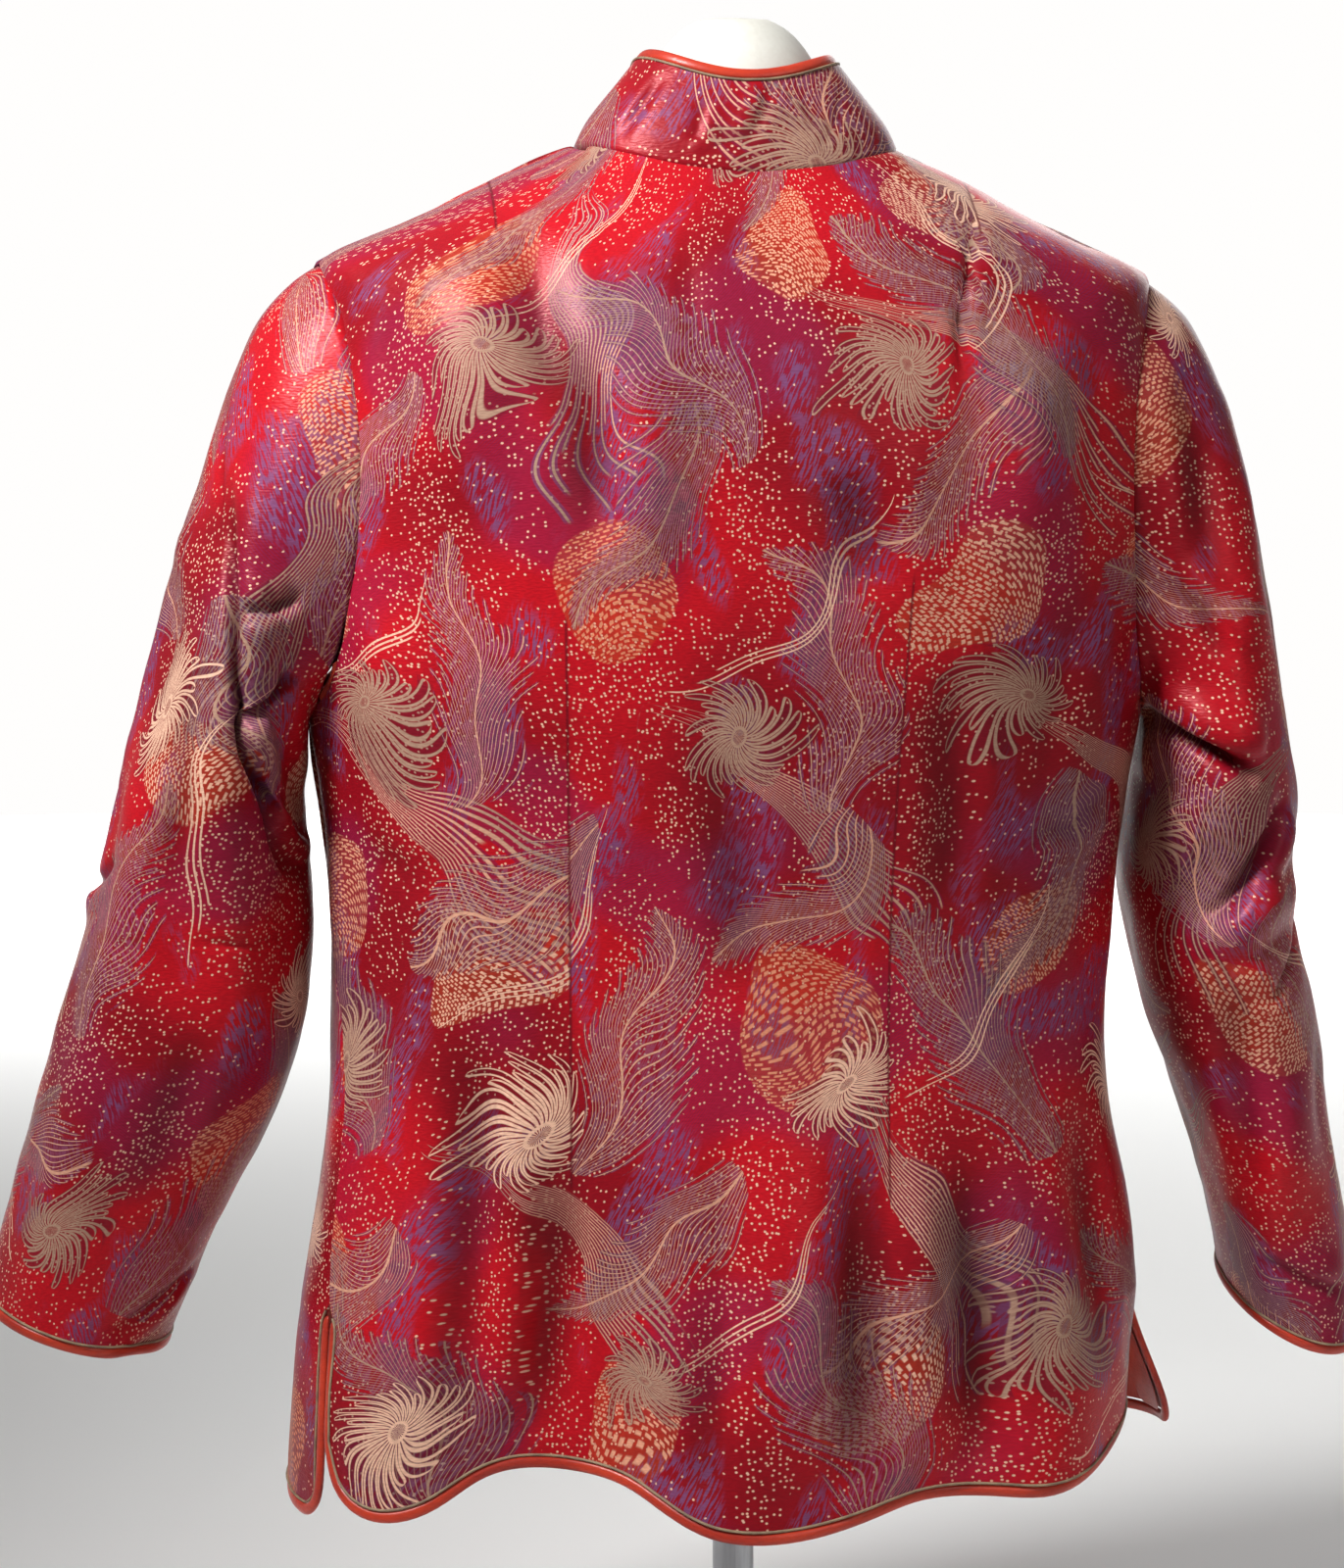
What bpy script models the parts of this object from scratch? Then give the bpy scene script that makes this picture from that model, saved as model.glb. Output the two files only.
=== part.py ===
"""Lined brocade jacket with a stand collar, set-in sleeves and side vents, worn by a limbless dress form.

Metres, +Z up. The front of the jacket faces -Y and the wearer's left is +X. The origin is the middle of
the stand's underside. Each cloth piece is a sheet worked out from the sizes below and thickened inwards.
"""

import math
from typing import NamedTuple

import bmesh
import bpy
import numpy as np

# Cloth
WALL = 0.0026  # brocade, thin wadding and lining together
SEAM = 0.00035  # half of the gap between two sewn pieces, at the side and shoulder seams
ARMHOLE_GAP = 0.0009  # sleeve clear of the armhole edge
SLEEVE_CLEARANCE = 0.0016  # and by how much more it clears the body below
NECK_GAP = 0.0010  # collar clear of the neck edge

# Heights
HEM_Z = 0.170
VENT_Z = 0.260  # top of the side vents
UNDERARM_Z = 0.532
SHOULDER_Z = 0.745
NECK_SIDE_Z = 0.802
NECK_BACK_Z = 0.786
FLUTE_TOP_Z = 0.420  # the skirt's folds start below this
NECK_FRONT_Z = 0.750

# Widths, each from the middle
SHOULDER_X = 0.1975
NECK_X = 0.0772
ROUNDNESS = 2.4  # power of the superellipse that each level of the body follows

# Trim
BINDING = 0.0055  # width of the satin binding beyond the cloth's edge
BINDING_GAP = 0.0006
BINDING_PROUD = 0.0005  # how far it stands out of each side of the cloth
BINDING_ROUND = 0.0012
FRONT_EDGE_X = BINDING + BINDING_GAP + 0.0004  # cloth's front edge, from the middle
VENT_EDGE = BINDING + BINDING_GAP + 0.0009  # cloth's vent edge, from the side seam's line
VENT_STEP = 0.004  # height over which the vent's edge leaves the side seam
BACK_CORNER = 0.026  # radius of the back's two lower corners
FRONT_CORNER = 0.007

# Mesh steps
STEPS = (0.0, 0.08, 0.16, 0.24, 0.32, 0.40, 0.48, 0.56, 0.64, 0.72, 0.80, 0.87, 0.92, 0.95, 0.975, 1.0)
VENT_ROWS = 5
WAIST_ROWS = 7
YOKE_ROWS = 11
COLLAR_ROWS = 4
CAP_ROWS = 6
SLEEVE_ROWS = 16


class Level(NamedTuple):
    """One height of the jacket's body. seam_left and seam_right are how far behind the body's middle
    plane the two side seams run: the jacket sits a little twisted."""

    height: float
    half_width: float
    back: float
    front: float
    middle_x: float
    seam_left: float
    seam_right: float


BODY = (
    Level(0.140, 0.2030, 0.1240, 0.1220, 0.0140, 0.060, -0.006),
    Level(0.190, 0.2030, 0.1190, 0.1180, 0.0120, 0.058, -0.006),
    Level(0.225, 0.2032, 0.1155, 0.1150, 0.0095, 0.055, -0.006),
    Level(0.260, 0.2025, 0.1115, 0.1110, 0.0060, 0.050, -0.006),
    Level(0.300, 0.1965, 0.1075, 0.1070, 0.0055, 0.045, -0.005),
    Level(0.350, 0.1885, 0.1020, 0.1020, 0.0065, 0.037, -0.004),
    Level(0.408, 0.1865, 0.0980, 0.1000, 0.0070, 0.025, -0.002),
    Level(0.475, 0.1910, 0.1030, 0.1090, 0.0060, 0.010, 0.000),
    Level(0.532, 0.1990, 0.1090, 0.1170, 0.0040, 0.000, 0.000),
    Level(0.600, 0.2010, 0.1150, 0.1200, 0.0010, 0.000, 0.000),
    Level(0.660, 0.2010, 0.1160, 0.1130, 0.0000, 0.000, 0.000),
    Level(0.705, 0.2000, 0.1090, 0.0960, 0.0000, 0.000, 0.000),
    Level(0.745, 0.1975, 0.0920, 0.0760, 0.0000, 0.000, 0.000),
    Level(0.766, 0.1540, 0.0760, 0.0660, 0.0000, 0.000, 0.000),
    Level(0.783, 0.1180, 0.0620, 0.0590, 0.0000, 0.000, 0.000),
    Level(0.802, 0.0772, 0.0520, 0.0540, 0.0000, 0.000, 0.000),
)
SHOULDER_TILT = 0.012  # fall of the shoulders towards the right, per metre across


class Armhole(NamedTuple):
    """Where the armhole's edge runs at one height, out from the middle."""

    height: float
    back_x: float
    front_x: float


ARMHOLE = (
    Armhole(0.532, 0.1990, 0.1990),
    Armhole(0.560, 0.1890, 0.1850),
    Armhole(0.600, 0.1815, 0.1750),
    Armhole(0.650, 0.1790, 0.1715),
    Armhole(0.700, 0.1835, 0.1790),
    Armhole(0.725, 0.1900, 0.1880),
    Armhole(0.745, 0.1975, 0.1975),
)


class HemPoint(NamedTuple):
    """One place along the hem, by its distance across from the middle: its height, and how far the
    soft upright folds of the skirt push the cloth out of its plain round there."""

    across: float
    height: float
    out: float


BACK_HEM = (
    HemPoint(-0.200, 0.1950, 0.000),
    HemPoint(-0.180, 0.1820, 0.002),
    HemPoint(-0.150, 0.1730, 0.007),
    HemPoint(-0.119, 0.1770, -0.004),
    HemPoint(-0.092, 0.1780, -0.008),
    HemPoint(-0.068, 0.1740, 0.002),
    HemPoint(-0.038, 0.1675, 0.009),
    HemPoint(-0.008, 0.1645, 0.012),
    HemPoint(0.020, 0.1700, 0.006),
    HemPoint(0.048, 0.1855, -0.012),
    HemPoint(0.080, 0.1915, -0.024),
    HemPoint(0.105, 0.1930, -0.020),
    HemPoint(0.122, 0.1900, -0.010),
    HemPoint(0.138, 0.1755, 0.003),
    HemPoint(0.163, 0.1680, 0.008),
    HemPoint(0.195, 0.1720, 0.002),
)
FRONT_HEM = (
    HemPoint(-0.215, 0.1780, 0.002),
    HemPoint(-0.180, 0.1740, 0.006),
    HemPoint(-0.130, 0.1690, -0.006),
    HemPoint(-0.085, 0.1740, -0.012),
    HemPoint(-0.040, 0.1620, 0.002),
    HemPoint(0.000, 0.1590, 0.004),
    HemPoint(0.045, 0.1600, 0.002),
    HemPoint(0.095, 0.1680, -0.012),
    HemPoint(0.145, 0.1620, 0.004),
    HemPoint(0.185, 0.1600, 0.006),
    HemPoint(0.215, 0.1600, 0.000),
)
RIGHT_VENT_FLARE = 0.030  # how far the right front's vent edge swings out at the hem


class Section(NamedTuple):
    """One cut across a hanging sleeve, level with its middle. The lifts tilt the cut: how much higher
    its outer side and its back lie."""

    height: float
    outer: float
    inner: float
    middle_y: float
    half_depth: float
    lift_out: float
    lift_back: float


LEFT_SLEEVE = (
    Section(0.500, 0.2930, 0.2040, -0.004, 0.066, 0.000, 0.000),
    Section(0.455, 0.3030, 0.2005, -0.010, 0.061, 0.006, -0.004),
    Section(0.406, 0.3150, 0.2030, -0.016, 0.058, 0.012, -0.007),
    Section(0.355, 0.3295, 0.2205, -0.024, 0.055, 0.013, -0.008),
    Section(0.305, 0.3440, 0.2460, -0.033, 0.051, 0.013, -0.008),
    Section(0.242, 0.3615, 0.2710, -0.044, 0.047, 0.012, -0.007),
)
RIGHT_SLEEVE = (
    Section(0.500, 0.2760, 0.1960, -0.004, 0.070, 0.000, 0.000),
    Section(0.455, 0.2745, 0.1910, -0.010, 0.067, 0.005, -0.004),
    Section(0.406, 0.2815, 0.2020, -0.017, 0.064, 0.009, -0.008),
    Section(0.355, 0.2945, 0.2215, -0.027, 0.060, 0.008, -0.011),
    Section(0.305, 0.3075, 0.2385, -0.038, 0.056, 0.000, -0.013),
    Section(0.236, 0.3245, 0.2535, -0.052, 0.052, -0.010, -0.016),
)
CAP_REACH_OUT = 0.047  # how far the sleeve head runs out before it turns down
CAP_DROP = 0.016
CAP_REACH_DOWN = 0.120
CAP_SLOPE = {1: 0.27, -1: 0.18}  # outward slope of each sleeve's upper arm


class Fold(NamedTuple):
    """A fold of a sleeve. around is 0 outside, 0.25 behind, 0.5 inside and 0.75 in front; along is 0 at
    the armhole and 1 at the cuff. slant turns it: change of around over the length of one unit along."""

    around: float
    along: float
    width: float
    length: float
    depth: float
    slant: float


LEFT_FOLDS = (
    Fold(0.36, 0.26, 0.055, 0.10, -0.010, 0.30),
    Fold(0.27, 0.30, 0.050, 0.13, 0.007, 0.35),
    Fold(0.22, 0.42, 0.045, 0.20, -0.009, 0.30),
    Fold(0.40, 0.44, 0.060, 0.09, -0.008, -0.30),
    Fold(0.32, 0.55, 0.060, 0.10, 0.006, -0.20),
    Fold(0.06, 0.20, 0.045, 0.12, -0.005, 0.20),
    Fold(0.78, 0.35, 0.070, 0.12, -0.008, -0.30),
    Fold(0.68, 0.50, 0.070, 0.10, -0.007, 0.25),
    Fold(0.30, 0.93, 0.040, 0.10, -0.005, 0.90),
)
RIGHT_FOLDS = (
    Fold(0.30, 0.30, 0.070, 0.08, 0.010, 0.90),
    Fold(0.34, 0.39, 0.080, 0.06, -0.012, 0.80),
    Fold(0.22, 0.50, 0.060, 0.09, 0.006, -0.60),
    Fold(0.28, 0.60, 0.070, 0.07, -0.008, -0.80),
    Fold(0.12, 0.58, 0.050, 0.12, 0.006, -0.50),
    Fold(0.05, 0.22, 0.045, 0.12, -0.004, 0.20),
    Fold(0.76, 0.36, 0.070, 0.12, -0.008, 0.30),
    Fold(0.66, 0.54, 0.070, 0.10, -0.007, -0.25),
)


class CollarStation(NamedTuple):
    """The collar at one depth of the neck edge: how high it stands there."""

    depth: float
    stand: float


COLLAR_STAND = (
    CollarStation(-0.070, 0.043),
    CollarStation(-0.035, 0.043),
    CollarStation(0.000, 0.044),
    CollarStation(0.030, 0.045),
    CollarStation(0.055, 0.047),
)
COLLAR_TOP_WIDTH = 0.635  # share of the neck edge's width that is left at the top
COLLAR_TOP_DEPTH = 0.80
COLLAR_MIDDLE_Y = -0.006
COLLAR_UPRIGHT = 0.12  # share of the stand that rises straight before it leans in

# Darts in the back: a groove where the two sides of the dart are sewn together
DART_X = 0.0750
DART_LOW_Z = 0.305
DART_HIGH_Z = 0.575
DART_DEPTH = 0.0014

# Front fastenings
FROG_HEIGHTS = (0.712, 0.612, 0.512, 0.412, 0.312)
FROG_LENGTH = 0.036
FROG_WIDTH = 0.0085
FROG_THICK = 0.0030
FROG_CORD = 0.0012
KNOT_RADIUS = 0.0048
KNOT_SUNK = 0.0004
KNOT_SPREAD = 0.0008

# Satin facing inside each vent edge
FACING_THICK = 0.0010
FACING_GAP = 0.0005
FACING_COLUMNS = 4

# Dress form and stand
FORM_BOTTOM_Z = 0.262
FORM_SIDES = 32
POLE_RADIUS = 0.010
BASE_RADIUS = 0.140
BASE_THICK = 0.008
BASE_EDGE = 0.003
POLE_SEAT_GAP = 0.0003


class FormLevel(NamedTuple):
    """One height of the dress form."""

    height: float
    half_width: float
    back: float
    front: float
    roundness: float


FORM = (
    FormLevel(0.262, 0.1340, 0.0760, 0.0780, 2.2),
    FormLevel(0.300, 0.1420, 0.0830, 0.0850, 2.2),
    FormLevel(0.350, 0.1340, 0.0820, 0.0830, 2.2),
    FormLevel(0.416, 0.1200, 0.0760, 0.0800, 2.2),
    FormLevel(0.480, 0.1320, 0.0840, 0.0940, 2.2),
    FormLevel(0.540, 0.1480, 0.0950, 0.1060, 2.3),
    FormLevel(0.600, 0.1600, 0.1020, 0.1060, 2.3),
    FormLevel(0.655, 0.1700, 0.1050, 0.0980, 2.4),
    FormLevel(0.700, 0.1790, 0.0980, 0.0840, 2.4),
    FormLevel(0.730, 0.1850, 0.0860, 0.0700, 2.4),
)
# Above the form's shoulder end its sides lie just under the jacket's shoulders
FORM_SHOULDER_DROP = WALL + 0.0020
FORM_SHRINK_BACK = 0.0070
FORM_SHRINK_FRONT = 0.0090
FORM_SHOULDER_HEIGHTS = (0.746, 0.756, 0.766, 0.775, 0.783)
FORM_NECK = (
    FormLevel(0.7915, 0.0690, 0.0440, 0.0430, 2.2),
    FormLevel(0.800, 0.0540, 0.0420, 0.0420, 2.1),
    FormLevel(0.815, 0.0455, 0.0400, 0.0410, 2.0),
    FormLevel(0.834, 0.0415, 0.0370, 0.0380, 2.0),
    FormLevel(0.844, 0.0365, 0.0330, 0.0340, 2.0),
    FormLevel(0.852, 0.0305, 0.0280, 0.0280, 2.0),
    FormLevel(0.858, 0.0240, 0.0220, 0.0220, 2.0),
    FormLevel(0.862, 0.0150, 0.0140, 0.0140, 2.0),
)


def clear_scene():
    for obj in list(bpy.data.objects):
        bpy.data.objects.remove(obj)


def material(name, colour, roughness, metallic=0.0):
    made = bpy.data.materials.new(name)
    made.use_nodes = True
    shader = made.node_tree.nodes["Principled BSDF"]
    shader.inputs["Base Color"].default_value = (*colour, 1.0)
    shader.inputs["Roughness"].default_value = roughness
    shader.inputs["Metallic"].default_value = metallic
    return made


def column(rows, name):
    """A smooth function through one column of a table, against the table's first column."""
    at = [row[0] for row in rows]
    value = [getattr(row, name) for row in rows]
    slope = np.gradient(value, at)

    def read(x):
        x = min(max(x, at[0]), at[-1])
        i = min(int(np.searchsorted(at, x, side="right")) - 1, len(at) - 2)
        step = at[i + 1] - at[i]
        t = (x - at[i]) / step
        rise = value[i + 1] - value[i]
        limit = 3 * abs(rise) / step
        low = math.copysign(min(abs(slope[i]), limit), rise) if rise * slope[i] > 0 else 0.0
        high = math.copysign(min(abs(slope[i + 1]), limit), rise) if rise * slope[i + 1] > 0 else 0.0
        return (
            value[i]
            + rise * t * t * (3 - 2 * t)
            + step * t * (1 - t) * (low * (1 - t) - high * t)
        )

    return read


HALF_WIDTH = column(BODY, "half_width")
SEAM_BACK = {1: column(BODY, "seam_left"), -1: column(BODY, "seam_right")}
MIDDLE_X = column(BODY, "middle_x")
DEPTH = {"back": column(BODY, "back"), "front": column(BODY, "front")}
ARMHOLE_X = {"back": column(ARMHOLE, "back_x"), "front": column(ARMHOLE, "front_x")}
HEM_HEIGHT = {"back": column(BACK_HEM, "height"), "front": column(FRONT_HEM, "height")}
HEM_OUT = {"back": column(BACK_HEM, "out"), "front": column(FRONT_HEM, "out")}
FACE_SIGN = {"back": 1.0, "front": -1.0}
STAND = column(COLLAR_STAND, "stand")


def smoothstep(x):
    x = min(max(x, 0.0), 1.0)
    return x * x * (3 - 2 * x)


def bump(x):
    return math.exp(-x * x)


def body_depth(face, x, z):
    """How far the body's outer surface lies from the middle plane at x and z."""
    share = min(abs(x) / HALF_WIDTH(z), 1.0)
    return DEPTH[face](z) * (1 - share**ROUNDNESS) ** (1 / ROUNDNESS)


def hem_height(face, x, from_side):
    """Height of the cloth's lower edge, with the corner beside the vent rounded."""
    corner = BACK_CORNER if face == "back" else FRONT_CORNER
    rounded = 0.0
    if from_side < corner:
        rounded = corner - math.sqrt(max(corner**2 - (corner - from_side) ** 2, 0.0))
    return HEM_HEIGHT[face](x) + BINDING + rounded


RING_SAMPLES = 90


def ring_points(face, side, z, steps, from_middle, beyond_seam):
    """Points of the body below the underarm at one height, at even steps from the middle to the side
    seam, which they stop short of by beyond_seam. y is counted towards this face."""
    half, seam = HALF_WIDTH(z), FACE_SIGN[face] * SEAM_BACK[side](z) + beyond_seam
    other = "front" if face == "back" else "back"
    start = math.asin((from_middle / half) ** (ROUNDNESS / 2))
    deep = DEPTH[face if seam > 0 else other](z)
    end = math.acos(math.copysign(abs(seam / deep) ** (ROUNDNESS / 2), seam))
    angle = np.linspace(start, end, RING_SAMPLES)
    towards = np.cos(angle)
    depth = np.where(towards > 0, DEPTH[face](z), DEPTH[other](z))
    x = half * np.sin(angle) ** (2 / ROUNDNESS)
    y = depth * np.sign(towards) * np.abs(towards) ** (2 / ROUNDNESS)
    run = np.concatenate([[0.0], np.cumsum(np.hypot(np.diff(x), np.diff(y)))])
    at = np.array(steps) * run[-1]
    return list(zip(side * np.interp(at, run, x), np.interp(at, run, y)))


def shaped(face, side, x, y, z):
    """Moves a point of the plain body by the skirt's folds and puts it on its side of the seam."""
    normal = np.array([x / HALF_WIDTH(z) ** 2, y / DEPTH[face](z) ** 2])
    normal /= np.linalg.norm(normal)
    out = HEM_OUT[face](x) * smoothstep((FLUTE_TOP_Z - z) / (FLUTE_TOP_Z - HEM_Z)) ** 1.2
    out *= smoothstep(y / 0.04)
    x += out * normal[0]
    y += out * normal[1]
    if face == "front" and side < 0:
        swing = smoothstep((VENT_Z - z) / (VENT_Z - HEM_Z)) * smoothstep((abs(x) - 0.13) / 0.07)
        x -= RIGHT_VENT_FLARE * swing
    z += SHOULDER_TILT * x * smoothstep((z - UNDERARM_Z) / (SHOULDER_Z - UNDERARM_Z))
    return np.array([x + MIDDLE_X(z), FACE_SIGN[face] * (y + SEAM), z])


def neck_height(face, x):
    share = min(abs(x) / NECK_X, 1.0)
    if face == "back":
        return NECK_BACK_Z + (NECK_SIDE_Z - NECK_BACK_Z) * share**2
    return NECK_FRONT_Z + (NECK_SIDE_Z - NECK_FRONT_Z) * share**2.2


SHOULDER_HEIGHTS = np.linspace(SHOULDER_Z, NECK_SIDE_Z, 200)
SHOULDER_WIDTHS = np.array([HALF_WIDTH(z) for z in SHOULDER_HEIGHTS])
NECK_FRACTION = 0.40  # share of the columns that end at the neck edge


def top_point(face, fraction, from_middle):
    """(x, z) of the panel's top edge: the neck edge, then the shoulder seam."""
    if fraction < NECK_FRACTION:
        turn = math.sin(fraction / NECK_FRACTION * math.pi / 2)
        x = from_middle + (NECK_X - from_middle) * turn
        return x, neck_height(face, x)
    share = (fraction - NECK_FRACTION) / (1 - NECK_FRACTION)
    x = NECK_X + (SHOULDER_X - NECK_X) * share
    return x, float(np.interp(-x, -SHOULDER_WIDTHS, SHOULDER_HEIGHTS))


def yoke_row(face, side, t, from_middle, steps=STEPS):
    """A row of the body above the underarm. t runs from the underarm to the top edge."""
    base = ring_points(face, 1, UNDERARM_Z, steps, from_middle, 0.0)
    rise = (1 - math.cos(t * math.pi)) / 2
    armhole_z = UNDERARM_Z + (SHOULDER_Z - UNDERARM_Z) * rise
    straight_end = HALF_WIDTH(UNDERARM_Z) + (SHOULDER_X - HALF_WIDTH(UNDERARM_Z)) * rise
    row = []
    for fraction, (x0, _) in zip(steps, base):
        x1, z1 = top_point(face, fraction, from_middle)
        z = UNDERARM_Z + (z1 - UNDERARM_Z) * rise
        x = x0 + (x1 - x0) * rise
        x += (ARMHOLE_X[face](armhole_z) - straight_end) * (x / straight_end) ** 3
        y = 0.0 if t == 1.0 and fraction >= NECK_FRACTION else body_depth(face, x, z)
        row.append(shaped(face, side, side * x, y, z))
    return row


def dart_groove(x, z):
    """How far the back's outer surface sinks along a dart."""
    if not DART_LOW_Z < z < DART_HIGH_Z:
        return 0.0
    along = (z - DART_LOW_Z) / (DART_HIGH_Z - DART_LOW_Z)
    return DART_DEPTH * bump((abs(x) - DART_X) / 0.012) * math.sin(math.pi * along) ** 0.5


def panel_half(face, side, from_middle):
    """Grid of one half of the body: rows from hem to top, columns from the middle to the side."""
    rows = []
    along_hem = ring_points(face, side, HEM_Z, STEPS, from_middle, VENT_EDGE)
    seam = FACE_SIGN[face] * SEAM_BACK[side](HEM_Z) + VENT_EDGE
    lows = [hem_height(face, x, y - seam) for x, y in along_hem]
    for k in range(VENT_ROWS + 1):
        row = []
        for c, low in enumerate(lows):
            z = low + (VENT_Z - VENT_STEP - low) * k / VENT_ROWS
            x, y = ring_points(face, side, z, STEPS, from_middle, VENT_EDGE)[c]
            row.append(shaped(face, side, x, y, z))
        rows.append(row)
    for k in range(WAIST_ROWS + 1):
        z = VENT_Z + (UNDERARM_Z - VENT_Z) * k / WAIST_ROWS
        row = []
        for x, y in ring_points(face, side, z, STEPS, from_middle, 0.0):
            y -= dart_groove(x, z) if face == "back" else 0.0
            row.append(shaped(face, side, x, y, z))
        rows.append(row)
    for k in range(1, YOKE_ROWS + 1):
        rows.append(yoke_row(face, side, k / YOKE_ROWS, from_middle))
    return np.array(rows)


def grid_normals(grid, closed=False):
    """Unit normals of a grid of points: the way along a row crossed with the way up the columns."""
    if closed:
        across = np.roll(grid, -1, 1) - np.roll(grid, 1, 1)
    else:
        across = np.gradient(grid, axis=1)
    normal = np.cross(across, np.gradient(grid, axis=0))
    return normal / np.linalg.norm(normal, axis=2, keepdims=True)


def rows_mesh(name, rings, look, closed=False):
    """A solid of quads through rings of points. Its two ends, if any, are closed by ladders of quads."""
    bm = bmesh.new()
    points = [[bm.verts.new(p) for p in ring] for ring in rings]
    count, size = len(points), len(points[0])
    for r in range(count if closed else count - 1):
        low, high = points[r], points[(r + 1) % count]
        for c in range(size):
            d = (c + 1) % size
            bm.faces.new((low[c], low[d], high[d], high[c]))
    if not closed:
        for i in range(size // 2 - 1):
            rung = (i, i + 1, size - 2 - i, size - 1 - i)
            bm.faces.new([points[0][k] for k in rung[::-1]])
            bm.faces.new([points[-1][k] for k in rung])
    mesh = bpy.data.meshes.new(name)
    bm.to_mesh(mesh)
    bm.free()
    obj = bpy.data.objects.new(name, mesh)
    bpy.context.scene.collection.objects.link(obj)
    mesh.materials.append(look)
    mesh.shade_smooth()
    return obj


def sheet(name, grid, normals, look, thickness, closed=False, flip=False):
    """A cloth piece: an outer grid of points and, a wall's thickness behind it, an inner one. flip is
    for grids whose way across runs clockwise seen from outside."""
    inner = grid - normals * thickness
    rings = [np.vstack([o, i[::-1]]) for o, i in zip(np.moveaxis(grid, 1, 0), np.moveaxis(inner, 1, 0))]
    return rows_mesh(name, rings if flip else rings[::-1], look, closed)


def binding(name, edge, normals, look, closed=False):
    """A satin strip that carries on from a cloth edge, whose outward side is along x normal."""
    if closed:
        back, ahead = edge - np.roll(edge, 1, 0), np.roll(edge, -1, 0) - edge
    else:
        steps = np.diff(edge, axis=0)
        back, ahead = np.vstack([steps[:1], steps]), np.vstack([steps, steps[-1:]])
    back = back / np.linalg.norm(back, axis=1, keepdims=True)
    ahead = ahead / np.linalg.norm(ahead, axis=1, keepdims=True)
    along = back + ahead
    along /= np.linalg.norm(along, axis=1, keepdims=True)
    outward = np.cross(along, normals)
    outward /= np.linalg.norm(outward, axis=1, keepdims=True)
    reach = 1 / np.maximum(np.sum(along * ahead, axis=1), 0.6)
    high, low = BINDING_PROUD, -WALL - BINDING_PROUD
    far = BINDING_GAP + BINDING
    section = (
        (BINDING_GAP, high),
        (far - BINDING_ROUND, high),
        (far, high - BINDING_ROUND),
        (far, low + BINDING_ROUND),
        (far - BINDING_ROUND, low),
        (BINDING_GAP, low),
    )
    rings = [
        [p + o * (across * k) + n * up for across, up in section]
        for p, o, n, k in zip(edge, outward, normals, reach)
    ]
    return rows_mesh(name, rings, look, closed)


def edge_path(grid, normals, cells):
    return (
        np.array([grid[r, c] for r, c in cells]),
        np.array([normals[r, c] for r, c in cells]),
    )


def make_body(looks):
    """The back, the two fronts, and the trim along their free edges. Returns the fronts' grids."""
    left = panel_half("back", 1, 0.0)[:, ::-1]
    right = panel_half("back", -1, 0.0)[:, 1:]
    back = np.concatenate([left, right], axis=1)
    fronts = {side: panel_half("front", side, FRONT_EDGE_X) for side in (1, -1)}
    fronts[-1] = fronts[-1][:, ::-1]
    last, vents = back.shape[1] - 1, {1: len(STEPS) - 1, -1: 0}
    back_normals = grid_normals(back)
    front_normals = {side: grid_normals(fronts[side]) for side in (1, -1)}
    seam_rows = range(VENT_ROWS + 1, VENT_ROWS + 2 + WAIST_ROWS)
    shoulder = [c for c, f in enumerate(STEPS) if f >= NECK_FRACTION]
    for side in (1, -1):
        mine = front_normals[side]
        middle = (len(STEPS) - 1) if side < 0 else 0
        pairs = [(r, 0 if side > 0 else last, vents[side]) for r in seam_rows]
        pairs += [(-1, len(STEPS) - 1 - side * c, middle + side * c) for c in shoulder]
        for r, b, f in pairs:
            shared = back_normals[r, b] + mine[r, f]
            back_normals[r, b] = mine[r, f] = shared / np.linalg.norm(shared)

    sheet("back", back, back_normals, looks["brocade"], WALL)
    down = [(r, 0) for r in range(VENT_ROWS, 0, -1)]
    across = [(0, c) for c in range(last + 1)]
    up = [(r, last) for r in range(1, VENT_ROWS + 1)]
    binding("binding_back", *edge_path(back, back_normals, down + across + up), looks["satin"])
    make_facing("facing_vent_back_left", back, back_normals, 0, looks)
    make_facing("facing_vent_back_right", back, back_normals, last, looks)

    for side, word in ((1, "left"), (-1, "right")):
        grid, normals, vent = fronts[side], front_normals[side], vents[side]
        sheet(f"front_{word}", grid, normals, looks["brocade"], WALL)
        rows, columns = grid.shape[:2]
        middle = columns - 1 - vent
        cells = [(r, vent) for r in range(VENT_ROWS, 0, -1)]
        cells += [(0, c) for c in (range(columns - 1, -1, -1) if side > 0 else range(columns))]
        cells += [(r, middle) for r in range(1, rows)]
        if side > 0:
            cells.reverse()
        path = edge_path(grid, normals, cells)
        binding(f"binding_front_{word}", *path, looks["satin"])
        make_facing(f"facing_vent_front_{word}", grid, normals, vent, looks)
    return fronts


def make_facing(name, grid, normals, vent, looks):
    """Satin strip on the inner side of a panel beside its vent."""
    order = range(FACING_COLUMNS + 1) if vent == 0 else range(vent - FACING_COLUMNS, vent + 1)
    rows, columns = slice(0, VENT_ROWS + 1), list(order)
    inner = (grid - normals * (WALL + FACING_GAP))[rows, columns]
    sheet(name, inner, normals[rows, columns], looks["satin"], FACING_THICK)


def neck_ring():
    """Points of the neck edge from the front's middle, by the left side, round to the front's middle."""
    steps = [f for f in STEPS if f <= NECK_FRACTION]
    points = []
    for side in (1, -1):
        front = yoke_row("front", side, 1.0, FRONT_EDGE_X, steps)
        back = yoke_row("back", side, 1.0, 0.0, steps)
        middle = (front[-1] + back[-1]) / 2
        quarter = front[:-1] + [middle] + back[-2::-1]
        points += quarter if side > 0 else quarter[-2::-1]
    return np.array(points)


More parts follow.
